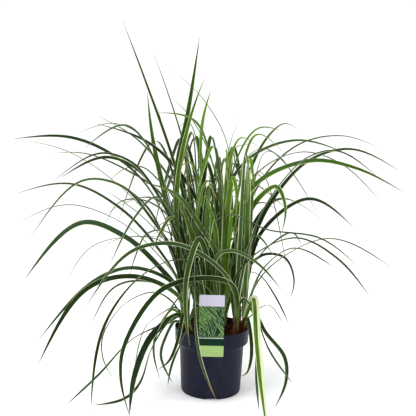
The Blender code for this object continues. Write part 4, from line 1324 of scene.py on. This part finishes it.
def area_light(name, place, aim, size, power, colour):
    """A soft rectangular light that faces a spot."""
    data = bpy.data.lights.new(name, "AREA")
    data.shape = "RECTANGLE"
    data.size, data.size_y = size
    data.energy = power
    data.color = linear(colour)[:3]
    obj = new_object(name, data)
    obj.location = place
    obj.rotation_euler = (Vector(aim) - Vector(place)).to_track_quat("-Z", "Y").to_euler()


class SEDGE_OT_stage(bpy.types.Operator):
    """Set the floor, the soft light and the camera"""

    bl_idname = "sedge.stage"
    bl_label = "Floor, light and camera"

    def execute(self, context):
        scene, look = context.scene, context.scene.sedge_stage
        bm = bmesh.new()
        bmesh.ops.create_circle(bm, cap_ends=True, segments=96, radius=9.0)
        mesh = mesh_of(bm, "floor")
        mesh.materials.append(stage_material("floor_painted", look.floor))
        new_object("floor", mesh)
        world = bpy.data.worlds.new("even_light")
        world.use_nodes = True
        even = world.node_tree.nodes["Background"].inputs
        even["Color"].default_value = linear("#ffffff")
        even["Strength"].default_value = look.sky
        scene.world = world
        middle = (0.0, 0.0, 0.42)
        area_light("key", (-0.5, -0.4, 2.4), middle, (1.0, 1.0), look.key, "#f4f7ff")
        area_light("fill_left", (-1.9, -1.5, 1.0), middle, (1.0, 1.6), look.fill, "#ffffff")
        area_light("fill_right", (2.0, -1.2, 0.9), middle, (1.0, 1.6), look.fill, "#ffffff")
        data = bpy.data.cameras.new("camera")
        data.sensor_width = 36.0
        data.lens = CAMERA_LENS
        camera = new_object("camera", data)
        tilt = Matrix.Rotation(math.radians(90.0 - CAMERA_PITCH), 4, "X")
        roll = Matrix.Rotation(math.radians(CAMERA_ROLL), 4, "Z")
        camera.matrix_world = Matrix.Translation(EYE) @ tilt @ roll
        scene.camera = camera
        scene.view_settings.view_transform = "Standard"
        return {"FINISHED"}


class SEDGE_PT_parts(bpy.types.Panel):
    """The parts of the potted sedge"""

    bl_idname = "SEDGE_PT_parts"
    bl_label = "Potted sedge"
    bl_space_type = "VIEW_3D"
    bl_region_type = "UI"
    bl_category = "Sedge"

    def draw(self, context):
        for operator, group in PARTS:
            box = self.layout.box()
            box.operator(operator.bl_idname)
            for name in group:
                settings = getattr(context.scene, name)
                for key in settings.__annotations__:
                    box.prop(settings, key)


GROUPS = {
    "sedge_leaves": LeafSettings,
    "sedge_bases": BaseSettings,
    "sedge_soil": SoilSettings,
    "sedge_pot": PotSettings,
    "sedge_tag": TagSettings,
    "sedge_stage": StageSettings,
}
PARTS = (
    (SEDGE_OT_stage, ["sedge_stage"]),
    (SEDGE_OT_pot, ["sedge_pot"]),
    (SEDGE_OT_soil, ["sedge_soil"]),
    (SEDGE_OT_tag, ["sedge_tag"]),
    (SEDGE_OT_shoots, ["sedge_leaves", "sedge_bases"]),
)
CLASSES = (*GROUPS.values(), *(operator for operator, _ in PARTS), SEDGE_PT_parts)


def register():
    for cls in CLASSES:
        bpy.utils.register_class(cls)
    for name, cls in GROUPS.items():
        setattr(bpy.types.Scene, name, PointerProperty(type=cls))


def unregister():
    for name in GROUPS:
        delattr(bpy.types.Scene, name)
    for cls in reversed(CLASSES):
        bpy.utils.unregister_class(cls)


def main():
    register()
    for operator, _ in PARTS:
        getattr(bpy.ops.sedge, operator.bl_idname.split(".")[1])()


if __name__ == "__main__":
    main()
